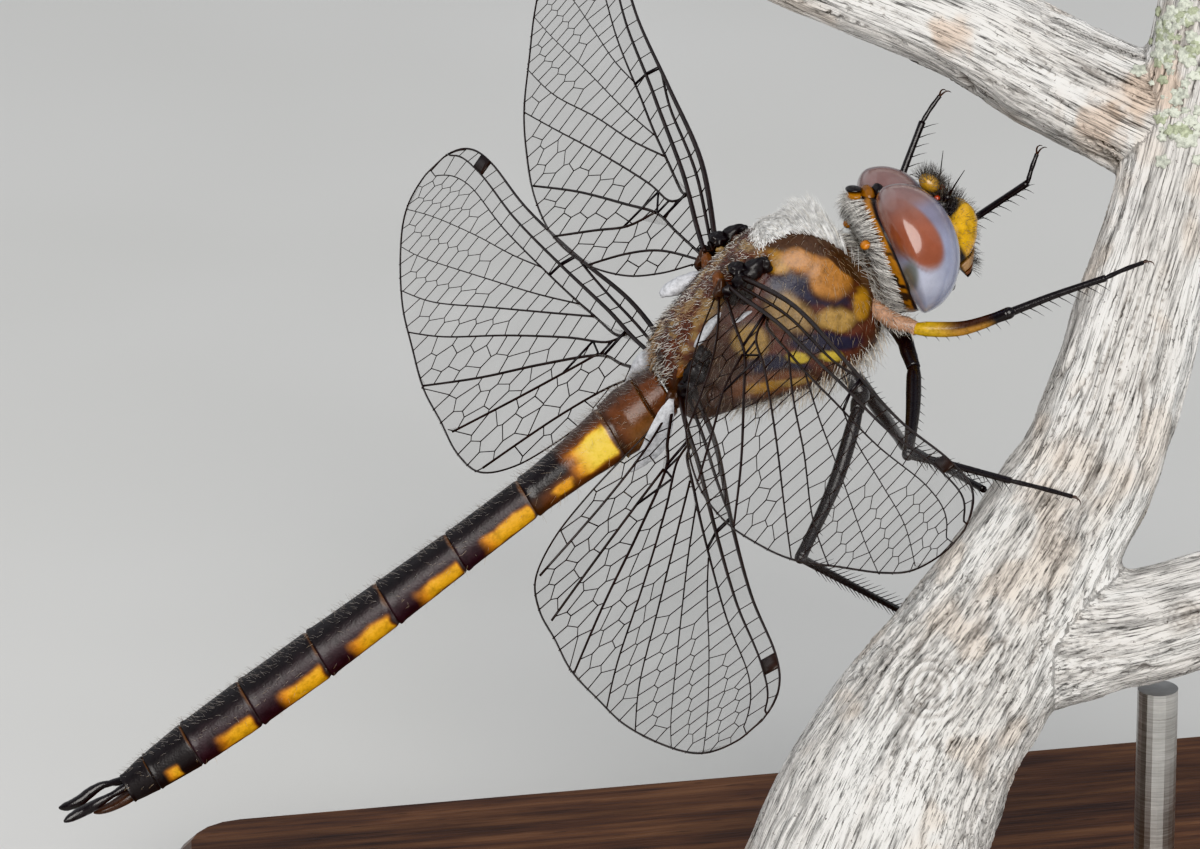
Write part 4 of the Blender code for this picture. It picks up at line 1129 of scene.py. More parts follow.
# where the ruff ends and the bare rim begins: z and x
RIM_BACK = [(-2.6, -1.36), (-1.5, -1.50), (0.3, -1.50), (1.5, -1.32), (2.5, -1.20)]
RIM_AMBER, BUMP_BROWN = (0.33, 0.130, 0.012), (0.20, 0.075, 0.010)


def rim_back(z):
    """Where the ruff ends and the bare rim begins."""
    return np.interp(z, *np.array(RIM_BACK).T)


def skull_colours(points, turned):
    """A narrow amber rim with black blotches behind the eyes, grey-brown under the hair.

    points are as lofted and turned are the same points once the skull is pitched.
    """
    x, _, z = points.T
    colours = np.broadcast_to(SKIN_BROWN, points.shape).astype(float)
    rim = ease(x - rim_back(z), -0.25, -0.05)
    colours = blend(colours, rim, RIM_AMBER)
    blotch = lattice_noise(points, (0.5, 0.7, 0.42), 12, 2)
    colours = blend(colours, rim * ease(blotch, 0.02, 0.14), BLACK)
    colours = blend(colours, rim * ease(z, 1.2, 0.7) * ease(x, -1.0, -0.75), BLACK)
    colours = blend(colours, ease(outside_eye(turned), 1.14, 1.07), BLACK)
    return blend(colours, ease(x, -0.3, 0.0), BLACK)


BROW = ((1.62, 0.0, 0.60), (0.50, 0.85, 0.46))     # the hairy black hollow between vertex and frons
# bumps of the skull: middle, half sizes, colour and pitch in degrees
SKULL_BUMPS = [
    ((-0.62, 0.0, 2.32), (0.34, 0.58, 0.66), BUMP_BROWN, 30.0),
    ((-0.13, 0.0, 2.32), (0.28, 0.40, 0.42), BLACK, 30.0),
    ((-0.80, 0.0, 3.06), (0.32, 0.42, 0.13), BLACK, 35.0),
    ((-0.93, 0.0, 2.84), (0.30, 0.45, 0.20), RIM_AMBER, 35.0),
    (*BROW, BLACK, 0.0),
    ((-1.76, -1.75, 1.56), (0.20, 0.28, 0.17), ORANGE, 0.0),
    ((-1.62, 1.55, 1.50), (0.20, 0.28, 0.17), ORANGE, 0.0),
]


def build_skull():
    """The head's skin and its bumps; returns the skin for its hair."""
    points, around, faces = loft(SKULL_SHAPE, 144, 10)
    points[:, 2] += 0.02 * lattice_noise(points, 0.5, 14, 2)
    turned = points @ SKULL_TURN.T
    shape = Shape().add(turned, faces, skull_colours(points, turned))
    for number, (at, size, colour, pitch) in enumerate(SKULL_BUMPS):
        lump(shape, at, size, colour, 15 + number, turn=(0.0, pitch, 0.0), rough=0.07)
    add_piece("head_skin", shape, HEAD, "head", ["head_capsule"])
    return turned, around, faces


VERTEX_AT, VERTEX_SIZE = (1.75, 0.0, 1.45), (0.34, 0.46, 0.46)
VERTEX_TURN = Matrix.Rotation(math.radians(-18.0), 3, "Y")
OCELLUS_RED = (0.50, 0.045, 0.012)
OCELLI = [((2.06, 0.0, 1.02), 0.11), ((1.62, 0.50, 0.93), 0.13), ((1.62, -0.50, 0.93), 0.13)]
ANTENNA = [                       # x, y, z and half thickness
    (1.75, 0.62, 0.72, 0.15), (1.98, 0.78, 0.84, 0.12), (2.08, 0.85, 0.90, 0.05),
    (2.5, 1.15, 1.22, 0.028), (3.02, 1.62, 1.62, 0.012),
]


def vertex_points(rings, sides):
    """The bump between the eyes as a pitched ball."""
    points, faces = ball((0.0, 0.0, 0.0), VERTEX_SIZE, rings, sides)
    return points @ np.array(VERTEX_TURN).T + VERTEX_AT, faces


def face_points(low, high, rows=26, across=64):
    """A plate of the face between two heights, its edges rolled in."""
    table = np.array(FACE_SHAPE)[::-1]
    rings = []
    for share in np.linspace(0.0, 1.0, rows):
        height = low + (high - low) * share
        reach = np.interp(height, table[:, 0], table[:, 1])
        half_width = np.interp(height, table[:, 0], table[:, 2])
        roll = 0.10 * (1.0 - math.sqrt(max(0.0, 1.0 - abs(2.0 * share - 1.0) ** 6)))
        angle = np.pi * (1.0 - np.arange(across) / (across - 1))
        x = FACE_BACK + (reach - roll - FACE_BACK) * np.sin(angle) ** 0.9
        rings.append(np.stack([x, (half_width - roll) * np.cos(angle), np.full(across, height)], axis=1))
    return np.vstack(rings), ring_faces(rows, across)


def frons_colours(points):
    """Gold, browner below, with a black edge round the top and the sides."""
    x, y, z = points.T
    colours = np.broadcast_to(FRONS_GOLD, points.shape).astype(float)
    mottle = lattice_noise(points, 0.35, 27, 2)
    colours = blend(colours, ease(mottle, -0.1, 0.5) * 0.35, OCHRE)
    colours = blend(colours, ease(z, -0.90, -1.35) * 0.7, OCHRE)
    colours = blend(colours, ease(z, -1.38, -1.50), DARK_BROWN)
    colours = blend(colours, ease(z + 0.12 * np.abs(y), 0.24, 0.36), BLACK)
    return blend(colours, ease(x, 1.35, 1.15), BLACK)


def build_face():
    """The plates down the front of the head, the bump between the eyes and the antennae."""
    for name, (low, high, colour) in FACE_PLATES.items():
        points, faces = face_points(low, high)
        look = "lower_face"
        if name == "frons":
            look, colour = "face", frons_colours(points)
            points[:, 0] -= 0.10 * np.exp(-(points[:, 1] / 0.22) ** 2) * ease(points[:, 2], -0.5, 0.4)
        add_piece(name + "_plate", Shape().add(points, faces, colour), HEAD, look, [name])
    build_vertex()
    for name, side in both_sides("antenna"):
        rows = smooth_line(ANTENNA, 5)
        shape = Shape().add(*tube(rows[:, :3] * (1.0, side, 1.0), rows[:, 3], 12), tint=BLACK)
        add_piece(name + "_bristle", shape, HEAD, "leg", [name])


def build_vertex():
    """The grooved golden bump between the eyes, and the three small red eyes round it."""
    points, faces = vertex_points(32, 40)
    points[:, 2] -= 0.08 * np.exp(-(points[:, 1] / 0.12) ** 2) * ease(points[:, 2], 1.5, 1.85)
    low = ease(points[:, 2] + 0.4 * np.abs(points[:, 1]), 1.30, 1.12)
    colours = blend(np.broadcast_to(VERTEX_GOLD, points.shape), low, BLACK)
    add_piece("vertex_bump", Shape().add(points, faces, colours), HEAD, "face", ["vertex"])
    ocelli = Shape()
    for at, size in OCELLI:
        ocelli.add(*ball(at, (size, size, size), 16, 20), tint=OCELLUS_RED)
    add_piece("ocelli", ocelli, HEAD, "ocellus")


# --- legs ---------------------------------------------------------------------------
LEGS = {                          # hip, trochanter, knee, ankle and toe in the body's frame
    "fore_right": [(3.35, -1.85, -1.3), (4.0, -2.5, -1.85), (7.3, -4.1, -2.6), (11.2, -3.2, -3.9),
                   (13.0, -2.6, -4.5)],
    "mid_right": [(3.4, -1.5, -2.25), (3.12, -2.9, -3.05), (1.15, -6.6, -4.3), (4.0, -6.0, -7.8),
                  (5.9, -5.9, -10.0)],
    "hind_right": [(0.9, -1.5, -3.4), (0.4, -2.4, -3.6), (-4.4, -5.9, -6.0), (-2.1, -0.7, -12.9),
                   (-1.1, 0.3, -15.4)],
    "fore_left": [(3.35, 1.85, -1.2), (3.75, 2.55, -1.65), (5.5, 5.0, -0.6), (8.55, 6.7, 1.3),
                  (9.9, 7.1, 1.8)],
    "mid_left": [(3.4, 1.5, -2.25), (3.4, 2.5, -3.2), (6.2, 6.0, -3.3), (10.8, 4.5, -2.3),
                 (11.9, 4.8, -1.4)],
    "hind_left": [(0.9, 1.5, -3.4), (1.1, 2.3, -4.2), (1.4, 5.65, -9.8), (3.1, 0.8, -10.9),
                  (3.9, 0.4, -12.8)],
}
FEMUR_GOLD = (0.50, 0.31, 0.025)
FEMUR_BOW = {"fore": 0.35, "mid": 0.15, "hind": 0.30}
HIP_CLAY = (0.40, 0.235, 0.155)
HIP_SIDES = 20
# from each hip to where its root lies inside the thorax, with y towards the middle
HIP_ROOT = {"fore": (-0.45, 0.90, 0.80), "mid": (-0.3, 0.50, 1.40), "hind": (-0.1, 0.40, 1.40)}
# half thickness along each length, from its inner end to its outer end
HIP_GIRTH = (0.30, 0.33, 0.31, 0.27)
FEMUR_GIRTH = (0.20, 0.29, 0.30, 0.28, 0.25, 0.22, 0.24)
TIBIA_GIRTH = (0.17, 0.16, 0.14, 0.13, 0.14)
TARSUS_GIRTH = (0.075, 0.10, 0.085, 0.10, 0.085, 0.09)
TIBIA_SPINE, FEMUR_SPINE = (0.62, 0.022), (0.32, 0.018)   # length, half thickness
SPINE_STEP = 0.42
CLAW_LENGTH, CLAW_GIRTH = 0.42, 0.045
CLAW_BEND = [(0.5, 0.35, 0.0), (0.80, 0.45, 0.25), (0.85, 0.45, 0.55)]   # ahead, outward and down, as shares
KNEE = 0.235


def spread_girth(girth, count):
    return np.interp(np.linspace(0.0, 1.0, count), np.linspace(0.0, 1.0, len(girth)), girth)


def add_spines(shape, path, girth, size, down, share=(0.1, 0.95)):
    """Two rows of stiff spines that slant out and towards the foot."""
    length, thick = size
    steps = np.linalg.norm(np.diff(path, axis=0), axis=1)
    places = np.r_[0.0, np.cumsum(steps)]
    along = unit(path[-1] - path[0])
    out = unit(np.cross(along, np.cross(down, along)))
    across = np.cross(along, out)
    for number, place in enumerate(np.arange(share[0] * places[-1], share[1] * places[-1], SPINE_STEP)):
        root = np.array([np.interp(place, places, path[:, axis]) for axis in range(3)])
        radius = np.interp(place, places, girth)
        for side in (-1.0, 1.0):
            lean = unit(out * 0.75 + across * side * 0.75 + along * 0.75)
            reach = length * (0.85 + 0.3 * ((number * 37) % 10) / 10.0)
            start = root + unit(out + across * side) * radius * 0.8
            tip = start + lean * reach
            middle = (start + tip) / 2.0 + along * 0.04 * reach
            shape.add(*tube([start, middle, tip], (thick, thick * 0.7, thick * 0.15), 5), tint=BLACK)


def fore_femur_colours(points, trochanter, knee):
    """A fore femur is golden with a dark knee and a dark line above."""
    share = (points - trochanter) @ (knee - trochanter) / np.sum((knee - trochanter) ** 2)
    colours = np.broadcast_to(FEMUR_GOLD, points.shape).astype(float)
    colours = blend(colours, ease(share, 0.10, 0.5) * 0.8, SIDE_ORANGE)
    droop = 4.0 * share * (1.0 - share) * FEMUR_BOW["fore"]
    line = ease(points[:, 2] - trochanter[2] - (knee[2] - trochanter[2]) * share + droop, 0.06, 0.18)
    colours = blend(colours, line * ease(share, 0.15, 0.5), DARK_BROWN)
    return blend(colours, ease(share, 0.74, 0.86), BLACK)


def grow_hip_hair(name, points, faces, rings):
    """Pale hair over the clay-coloured hip of a fore leg."""
    round_hip = np.tile(np.arange(HIP_SIDES) / HIP_SIDES, rings)
    unwrap = np.stack([round_hip, np.repeat(np.linspace(0.0, 1.0, rings), HIP_SIDES)], axis=1)
    grow_coat("hip_hair_" + name, (points, faces, unwrap), lambda at, n: np.full(len(at), 55.0), BODY, "hair",
              np.random.default_rng(SEED + 600), length=0.42, lie=(0.2, 0.0, -1.0),
              tint=mixed((0.6, PALE_HAIR), (0.25, GREY_HAIR), (0.15, DARK_BROWN)),
              stand=0.5, curl=0.5, stray=0.3, thick=0.009)


def add_leg_part(name, part, shape):
    node = "leg_%s_%s" % (name, part)
    add_piece(node + "_shell", shape, BODY, "leg", [node])


def build_leg(name, joints):
    """One leg as three pieces: femur with hip, tibia and tarsus."""
    pair = name.split("_")[0]
    hip, trochanter, knee, ankle, toe = (np.array(joint) for joint in joints)
    down = np.array((0.6, 0.0, -0.8) if pair == "hind" else (0.0, 0.0, -1.0))
    add_leg_part(name, "femur", femur_shape(name, pair, hip, trochanter, knee, down))
    path = smooth_line([knee, knee + (ankle - knee) * 0.5 - down * 0.05, ankle], 12)
    girth = spread_girth(TIBIA_GIRTH, len(path))
    tibia = Shape().add(*tube(path, girth, 16), tint=BLACK)
    add_spines(tibia, path, girth, TIBIA_SPINE, down)
    add_leg_part(name, "tibia", tibia)
    add_leg_part(name, "tarsus", tarsus_shape(ankle, toe, down))


def femur_shape(name, pair, hip, trochanter, knee, down):
    """Hip, femur and knee in one shape; a fore hip gets its hair too."""
    inside = hip + np.array(HIP_ROOT[pair]) * (1.0, -np.sign(hip[1]), 1.0)
    path = smooth_line([inside, hip, hip + (trochanter - hip) * 0.6, trochanter], 6)
    points, faces = tube(path, spread_girth(HIP_GIRTH, len(path)), HIP_SIDES)
    points = points + 0.04 * lattice_noise(points, 0.3, 44, 2)[:, None]
    femur = Shape().add(points, faces, HIP_CLAY if pair == "fore" else BLACK)
    if pair == "fore":
        grow_hip_hair(name, points, faces, len(path))
    start = trochanter - unit(knee - trochanter) * 0.15
    belly = trochanter + (knee - trochanter) * 0.45 - (0.0, 0.0, FEMUR_BOW[pair])
    path = smooth_line([start, belly, knee], 12)
    girth = spread_girth(FEMUR_GIRTH, len(path))
    points, faces = tube(path, girth, 20)
    femur.add(points, faces, fore_femur_colours(points, trochanter, knee) if pair == "fore" else BLACK)
    femur.add(*ball(knee, (KNEE, KNEE, KNEE), 14, 18), tint=BLACK)
    add_spines(femur, path, girth, FEMUR_SPINE, down)
    return femur


def tarsus_shape(ankle, toe, down):
    """A foot with its pair of hooked claws."""
    ahead = unit(toe - ankle)
    end = toe - ahead * CLAW_LENGTH * 0.6
    path = smooth_line([ankle, ankle + (end - ankle) * 0.5 + down * -0.03, end], 12)
    tarsus = Shape().add(*tube(path, spread_girth(TARSUS_GIRTH, len(path)), 14), tint=BLACK)
    sideways = unit(np.cross(ahead, down))
    hook = unit(down - ahead * down.dot(ahead))
    for side in (-1.0, 1.0):
        rows = [end - ahead * 0.05]
        for forward, out, below in CLAW_BEND:
            rows.append(end + (ahead * forward + sideways * side * out + hook * below) * CLAW_LENGTH)
        claw = smooth_line(rows, 4)
        tarsus.add(*tube(claw, CLAW_GIRTH * np.linspace(1.0, 0.2, len(claw)), 8), tint=DARK_BROWN)
    return tarsus


# --- hair ---------------------------------------------------------------------------
PATCH = 0.003                     # size of a tuft's patch on the unwrap of the skin
TUFT_POINTS = 10                  # three rings of three, and the tip
# grey-brown for the abdomen's upward-facing hairs: painted shade
SHADED_TOP_HAIR = (0.32, 0.285, 0.26)
CREST_WHITE, RUFF_WHITE, BROW_TAN = (0.97, 0.97, 0.96), (0.90, 0.88, 0.84), (0.20, 0.15, 0.10)
BACK_TAN, BACK_DARK = (0.42, 0.27, 0.15), (0.10, 0.085, 0.08)
# how long the hair is: at these x on the crest and the back, and at these z on the face
CREST_LENGTH = (0.2, 0.9, 1.8, 2.4, 2.8, 3.1), (0.19, 0.25, 0.44, 0.86, 1.32, 1.62)
BACK_LENGTH = (-5.2, -4.2, -3.2, -1.5, 0.5), (0.55, 0.42, 0.28, 0.24, 0.20)
FACE_LENGTH = (-2.0, -1.2, -0.6, 0.1, 0.5), (0.50, 0.22, 0.28, 0.42, 0.58)


def scatter(points, faces, unwrap, density, rng):
    """Random roots on a skin, as many to the square millimetre as density says at each face."""
    quads = np.array([face for face in faces if len(face) == 4])
    corners = points[quads]
    cross = np.cross(corners[:, 2] - corners[:, 0], corners[:, 3] - corners[:, 1])
    area = 0.5 * np.linalg.norm(cross, axis=1)
    expected = area * density(corners.mean(axis=1), unit(cross)) * 1.0
    counts = np.floor(expected + rng.random(len(expected))).astype(int)
    chosen = np.repeat(np.arange(len(quads)), counts)
    u, v = rng.random((2, len(chosen), 1))
    weights = ((1 - u) * (1 - v), u * (1 - v), u * v, (1 - u) * v)
    roots = sum(corners[chosen, k] * weights[k] for k in range(4))
    return roots, unit(cross)[chosen], unwrap[quads[chosen, 0]]


def grow_hair(name, roots, normals, unwrap, matrix, slot, rng, *, length, lie, tint, stand=0.6,
              thick=0.013, curl=0.5, stray=0.22):
    """One thin three-sided tapering tuft at each root.

    stand is how upright a tuft leaves the skin and curl how far it bends over to its lie.
    """
    count = len(roots)
    lie = np.broadcast_to(np.asarray(lie, float), roots.shape)
    lie = unit(lie - normals * np.sum(lie * normals, axis=1, keepdims=True))
    lengths = np.broadcast_to(length, (count,)) * rng.uniform(0.65, 1.15, count)
    start = unit(normals * stand + lie * (1.0 - stand) + rng.normal(0.0, stray, roots.shape))
    end = unit(start * (1.0 - curl) + lie * curl + rng.normal(0.0, stray * 0.7, roots.shape))
    side = unit(np.cross(start, rng.normal(size=roots.shape)))
    over = np.cross(start, side)
    rings, uvs = [], []
    spread = np.clip(0.01 + 0.98 * unwrap, 0.0, 1.0)
    for t in (0.0, 0.4, 0.75):
        centre = roots + lengths[:, None] * (start * t + (end - start) * t * t / 2.0)
        radius = thick * (1.0 - t) ** 0.5 * rng.uniform(0.8, 1.2, (count, 1))
        for k in range(3):
            angle = 2.0 * math.pi * k / 3
            rings.append(centre + radius * (side * math.cos(angle) + over * math.sin(angle)))
            uvs.append(spread + ((k - 1) * PATCH / 2, (t - 0.5) * PATCH))
    rings.append(roots + lengths[:, None] * (start + end) / 2.0)
    uvs.append(spread + (0.0, PATCH / 2))
    points = np.stack(rings, axis=1).reshape(-1, 3)
    one = [(r + i, r + (i + 1) % 3, r + 3 + (i + 1) % 3, r + 3 + i) for r in (0, 3) for i in range(3)]
    one += [(6 + i, 6 + (i + 1) % 3, 9) for i in range(3)] + [(2, 1, 0)]
    faces = [tuple(k + i for i in face) for k in range(0, len(points), TUFT_POINTS) for face in one]
    tint = np.clip(np.broadcast_to(tint, roots.shape) * rng.uniform(0.80, 1.12, (count, 1)), 0.0, 1.0)
    shape = Shape().add(points, faces, np.repeat(tint, TUFT_POINTS, axis=0))
    piece = add_piece(name, shape, matrix, slot)
    write_patches(piece.data, np.stack(uvs, axis=1).reshape(-1, 2))


def write_patches(mesh, uvs):
    """Lays each tuft on its root's place in the unwrap."""
    layer = mesh.uv_layers.new(name="OFBake")
    corner = np.empty(len(mesh.loops), np.int32)
    mesh.loops.foreach_get("vertex_index", corner)
    layer.data.foreach_set("uv", uvs[corner].ravel())


def mixed(*choices):
    """Tints drawn at random from (share, colour) pairs."""
    shares = np.array([share for share, _ in choices])
    colours = np.array([colour for _, colour in choices])
    return lambda roots, rng: colours[rng.choice(len(choices), len(roots), p=shares / shares.sum())]


def grow_coat(name, skin, density, matrix, slot, rng, *, tint, length, lie, **habit):
    """Hair on a skin; its tint, length and lie are values or are worked out from the roots."""
    roots, normals, patches = scatter(*skin, density, rng)
    tint, length, lie = (value(roots, rng) if callable(value) else value for value in (tint, length, lie))
    grow_hair(name, roots, normals, patches, matrix, slot, rng, tint=tint, length=length, lie=lie, **habit)


def unwrap_loft(points, around):
    """Share round the ring and share along the body."""
    x = points[:, 0]
    return np.stack([around, (x - x.min()) / (x.max() - x.min())], axis=1)


def on_crest(at):
    along = ease(at[:, 0], CREST_FROM, CREST_FROM + 0.4) * ease(at[:, 0], CREST_TO, CREST_TO - 0.15)
    return along * ease(np.abs(at[:, 1]), CREST_HALF + 0.12, CREST_HALF - 0.12) * (at[:, 2] > 0.5)


def grow_thorax_coat(points, around, faces):
    """The white crest, then the neck, the back, the sides and the belly."""
    skin = points, faces, unwrap_loft(points, around)
    rng = np.random.default_rng(SEED + 100)
    grow_crest(skin, rng)

    def neck(at, n):
        return 130.0 * ease(at[:, 0], 3.15, 3.4) * ease(at[:, 0], 4.3, 4.0)

    grow_coat("neck_hair", skin, neck, BODY, "hair", rng, length=0.75, lie=(-0.4, 0.0, -0.6),
              tint=mixed((0.5, PALE_HAIR), (0.35, GREY_HAIR), (0.15, DARK_BROWN)), stand=0.7, curl=0.6)
    grow_back(skin, rng)

    def sides(at, n):
        bare = 1.0 - np.clip(on_crest(at) + on_back(at), 0.0, 1.0)
        middle = ease(at[:, 0], -5.2, -4.8) * ease(at[:, 0], 3.3, 3.0)
        return 13.0 * bare * ease(at[:, 2], -2.4, -1.5) * middle

    grow_coat("side_hair", skin, sides, BODY, "hair", rng, length=0.42, lie=(-0.7, 0.0, -0.7),
              tint=lambda roots, rng: 0.45 * thorax_colours(roots) + 0.55 * np.array(TAN_HAIR),
              stand=0.45, curl=0.6, stray=0.3, thick=0.008)

    def belly(at, n):
        return 42.0 * ease(at[:, 2], -1.35, -1.9) * ease(at[:, 0], -5.0, -4.4) * ease(at[:, 0], 3.6, 3.2)

    grow_coat("belly_hair", skin, belly, BODY, "hair", rng, length=0.95, lie=(-0.55, 0.0, -0.8),
              tint=mixed((0.25, TAN_HAIR), (0.45, PALE_HAIR), (0.30, GREY_HAIR)),
              stand=0.55, curl=0.45, stray=0.28)


def grow_crest(skin, rng):
    """White hair that rises and leans forward towards the head."""
    def length(roots, rng):
        return np.interp(roots[:, 0], *CREST_LENGTH) * (1.0 - 0.35 * (roots[:, 1] / CREST_HALF) ** 2)

    def lie(roots, rng):
        forward = np.interp(roots[:, 0], (1.6, 2.6, 3.1), (0.0, 0.25, 0.50))
        return np.stack([forward, np.zeros(len(roots)), np.ones(len(roots))], axis=1)

    grow_coat("crest_hair", skin, lambda at, n: 420.0 * on_crest(at), BODY, "hair", rng, length=length,
              lie=lie, tint=mixed((0.85, CREST_WHITE), (0.15, PALE_HAIR)),
              stand=0.30, curl=0.30, stray=0.05, thick=0.015)


def grow_back(skin, rng):
    """Hair behind the crest in grey, tan and black clumps."""
    base = mixed((0.38, PALE_HAIR), (0.32, GREY_HAIR), (0.10, TAN_HAIR), (0.20, DARK_BROWN))

    def density(at, n):
        return 78.0 * on_back(at) * (1.0 - on_crest(at)) * (1.0 - near_cords(at))

    def tint(roots, rng):
        clump = lattice_noise(roots, 0.8, 77, 2)[:, None]
        return np.where(clump > 0.34, BACK_TAN, np.where(clump < -0.22, BACK_DARK, base(roots, rng)))

    grow_coat("back_hair", skin, density, BODY, "hair", rng, tint=tint, lie=(-1.0, 0.0, 0.1),
              length=lambda roots, rng: np.interp(roots[:, 0], *BACK_LENGTH), stand=0.6, curl=0.8, stray=0.45)


def grow_head_coat(points, around, faces):
    """The thick grey ruff behind the eyes."""
    def ruff(at, n):
        own = at @ SKULL_TURN
        return 200.0 * ease(own[:, 0] - rim_back(own[:, 2]), 0.05, -0.08)

    grow_coat("ruff_hair", (points, faces, unwrap_loft(points, around)), ruff, HEAD, "hair",
              np.random.default_rng(SEED + 200), length=0.86, lie=(-0.85, 0.0, 0.45),
              tint=mixed((0.60, RUFF_WHITE), (0.22, GREY_HAIR), (0.18, DARK_HAIR)),
              stand=0.26, curl=0.75, stray=0.13, thick=0.013)


def grow_face_coat():
    """Black hair over the front and below, and a brush on the bump between the eyes."""
    rng = np.random.default_rng(SEED + 300)

    def front(at, n):
        brow, chin = ease(at[:, 2], 0.05, 0.35), ease(-at[:, 2], 1.7, 2.0)
        return (30.0 + 170.0 * brow + 70.0 * chin) * ease(at[:, 0], 1.0, 1.3) * (np.abs(n[:, 2]) < 0.95)

    for name, (low, high, _) in FACE_PLATES.items():
        points, faces = face_points(low, high)
        unwrap = np.stack([(points[:, 1] + 1.5) / 3.0, (points[:, 2] + 2.7) / 3.4], axis=1)
        grow_coat(name + "_hair", (points, faces, unwrap), front, HEAD, "dark_hair", rng, tint=DARK_HAIR,
                  length=lambda roots, rng: np.interp(roots[:, 2], *FACE_LENGTH), lie=(0.2, 0.0, -1.0),
                  stand=0.9, curl=0.15, thick=0.007)
    points, faces = vertex_points(24, 32)
    skin = points, faces, (points[:, :2] - (1.0, -0.6)) / 1.2
    grow_coat("vertex_hair", skin, lambda at, n: 240.0 * ease(n[:, 0] + n[:, 2], -0.3, 0.5), HEAD,
              "dark_hair", rng, tint=DARK_HAIR, length=0.55, lie=(0.6, 0.0, 0.6),
              stand=0.85, curl=0.2, thick=0.008)
    points, faces = ball(*BROW, 24, 32)
    skin = points, faces, (points[:, :2] - (1.0, -0.9)) / 1.8
    grow_coat("brow_hair", skin, lambda at, n: 170.0 * ease(n[:, 2], 0.0, 0.4), HEAD, "dark_hair",
              rng, tint=mixed((0.8, DARK_HAIR), (0.2, BROW_TAN)), length=0.80, lie=(0.5, 0.0, 0.8),
              stand=0.75, curl=0.3, stray=0.3, thick=0.009)


def segment_density(most):
    """Hair thinnest below and thickest along the ridge on top."""
    def density(at, n):
        return most * (0.15 + ease(n[:, 2], -0.35, 0.75)) + 26.0 * ease(n[:, 2], 0.80, 0.97)

    return density


def grow_abdomen_coat(segments):
    """Fine pale hair, longest on the first segments; the hairs that face up are darkened with painted shade.
    """
    rng = np.random.default_rng(SEED + 400)
    gathered = {"front_abdomen_hair": [], "abdomen_hair": []}
    for points, faces, share, down, number in segments:
        front = number <= FRONT_SEGMENTS
        most = 20.0 if number <= 2 else 13.0 if front else 7.0
        unwrap = np.stack([down / 360.0 + 0.5 * (points[:, 1] > 0.0), (number - 1 + share) / 10.0], axis=1)
        rows = scatter(points, faces, unwrap, segment_density(most), rng)
        gathered["front_abdomen_hair" if front else "abdomen_hair"].append(rows)
    for name, rows in gathered.items():
        roots, normals, patches = (np.vstack(column) for column in zip(*rows))
        # painted shade: hairs that face up are darkened towards grey-brown
        tint = blend(np.broadcast_to(TAN_HAIR, roots.shape), ease(normals[:, 2], 0.3, 0.8), SHADED_TOP_HAIR)
        grow_hair(name, roots, normals, patches, BODY, "hair", rng, tint=tint, lie=(-1.0, 0.0, 0.0),
                  length=0.46 if name.startswith("front") else 0.33, stand=0.72, curl=0.4, stray=0.25,
                  thick=0.006)


# --- perch --------------------------------------------------------------------------
MAIN_LIMB = [                     # points on each limb's axis in the world, with its half thickness
    (-4.4, -7.2, 3.0, 4.6), (-1.6, -5.3, 8.2, 4.7), (0.7, -3.7, 12.0, 4.2), (3.0, -2.7, 14.7, 3.8),
    (4.9, -1.9, 17.1, 3.45), (6.9, -1.1, 19.9, 3.1), (8.7, -0.25, 22.6, 2.85),
    (11.0, 1.7, 27.9, 2.6), (13.1, 3.6, 33.3, 2.45), (15.1, 6.1, 39.7, 2.3),
]
UPPER_LIMB = [
    (-2.3, 13.1, 39.9, 2.1), (2.3, 11.2, 38.2, 2.2), (6.1, 9.4, 36.7, 2.3), (9.2, 7.4, 35.2, 2.5),
    (13.0, 4.3, 33.7, 2.6),
]
SIDE_STUB = [(5.6, -2.3, 15.6, 3.1), (8.0, -2.8, 15.9, 2.6), (10.2, -3.2, 16.3, 2.4),
             (13.5, -3.5, 17.2, 2.25)]
PERCH_CUT = 8.0
BARK_VOXEL = 0.13
LIMB_SKIN = 0.985                 # the bare limb before its ridges, as a share of the solid's thickness
WOOD_GREY, WOOD_PALE = (0.72, 0.70, 0.675), (0.92, 0.91, 0.89)
WOOD_TAN, WOOD_DARK = (0.62, 0.47, 0.34), (0.20, 0.175, 0.155)
LICHEN_GREEN, LICHEN_PALE = (0.46, 0.50, 0.36), (0.66, 0.69, 0.60)
KNOTS = [(0.76, -6.0, 15.6, 1.15), (6.3, -4.0, 20.5, 0.75), (-4.6, -8.5, 14.0, 0.8), (11.0, -5.2, 17.4, 0.6)]
TAN_PATCHES = [(11.6, 3.5, 36.1, 1.5), (9.8, 3.9, 34.3, 1.1), (4.5, 7.9, 37.2, 0.9)]   # place and size
PATCH_TAN, CUT_FACE, CUT_RING = (0.60, 0.42, 0.29), (0.52, 0.38, 0.24), (0.30, 0.19, 0.11)
LICHEN_SPOTS = [                  # place, spread and how many lobes
    ((12.8, 3.7, 37.8), 1.3, 70), ((12.4, 2.0, 34.9), 0.8, 30),
    ((14.2, 3.5, 36.8), 1.2, 30), ((-1.5, 11.4, 40.3), 0.9, 12),
]


def limb_axis(rows):
    """Stations on a limb: centre, radius, length so far and a frame that doesn't twist."""
    line = smooth_line(rows, 16)
    centres, radii = line[:, :3], line[:, 3]
    along = unit(np.gradient(centres, axis=0))
    length = np.r_[0.0, np.cumsum(np.linalg.norm(np.diff(centres, axis=0), axis=1))]
    side, sides = unit(np.cross(along[0], (0.0, 1.0, 0.0))), []
    for direction in along:
        side = unit(side - direction * side.dot(direction))
        sides.append(side)
    return {"centre": centres, "radius": radii, "along": along, "length": length, "side": np.array(sides)}


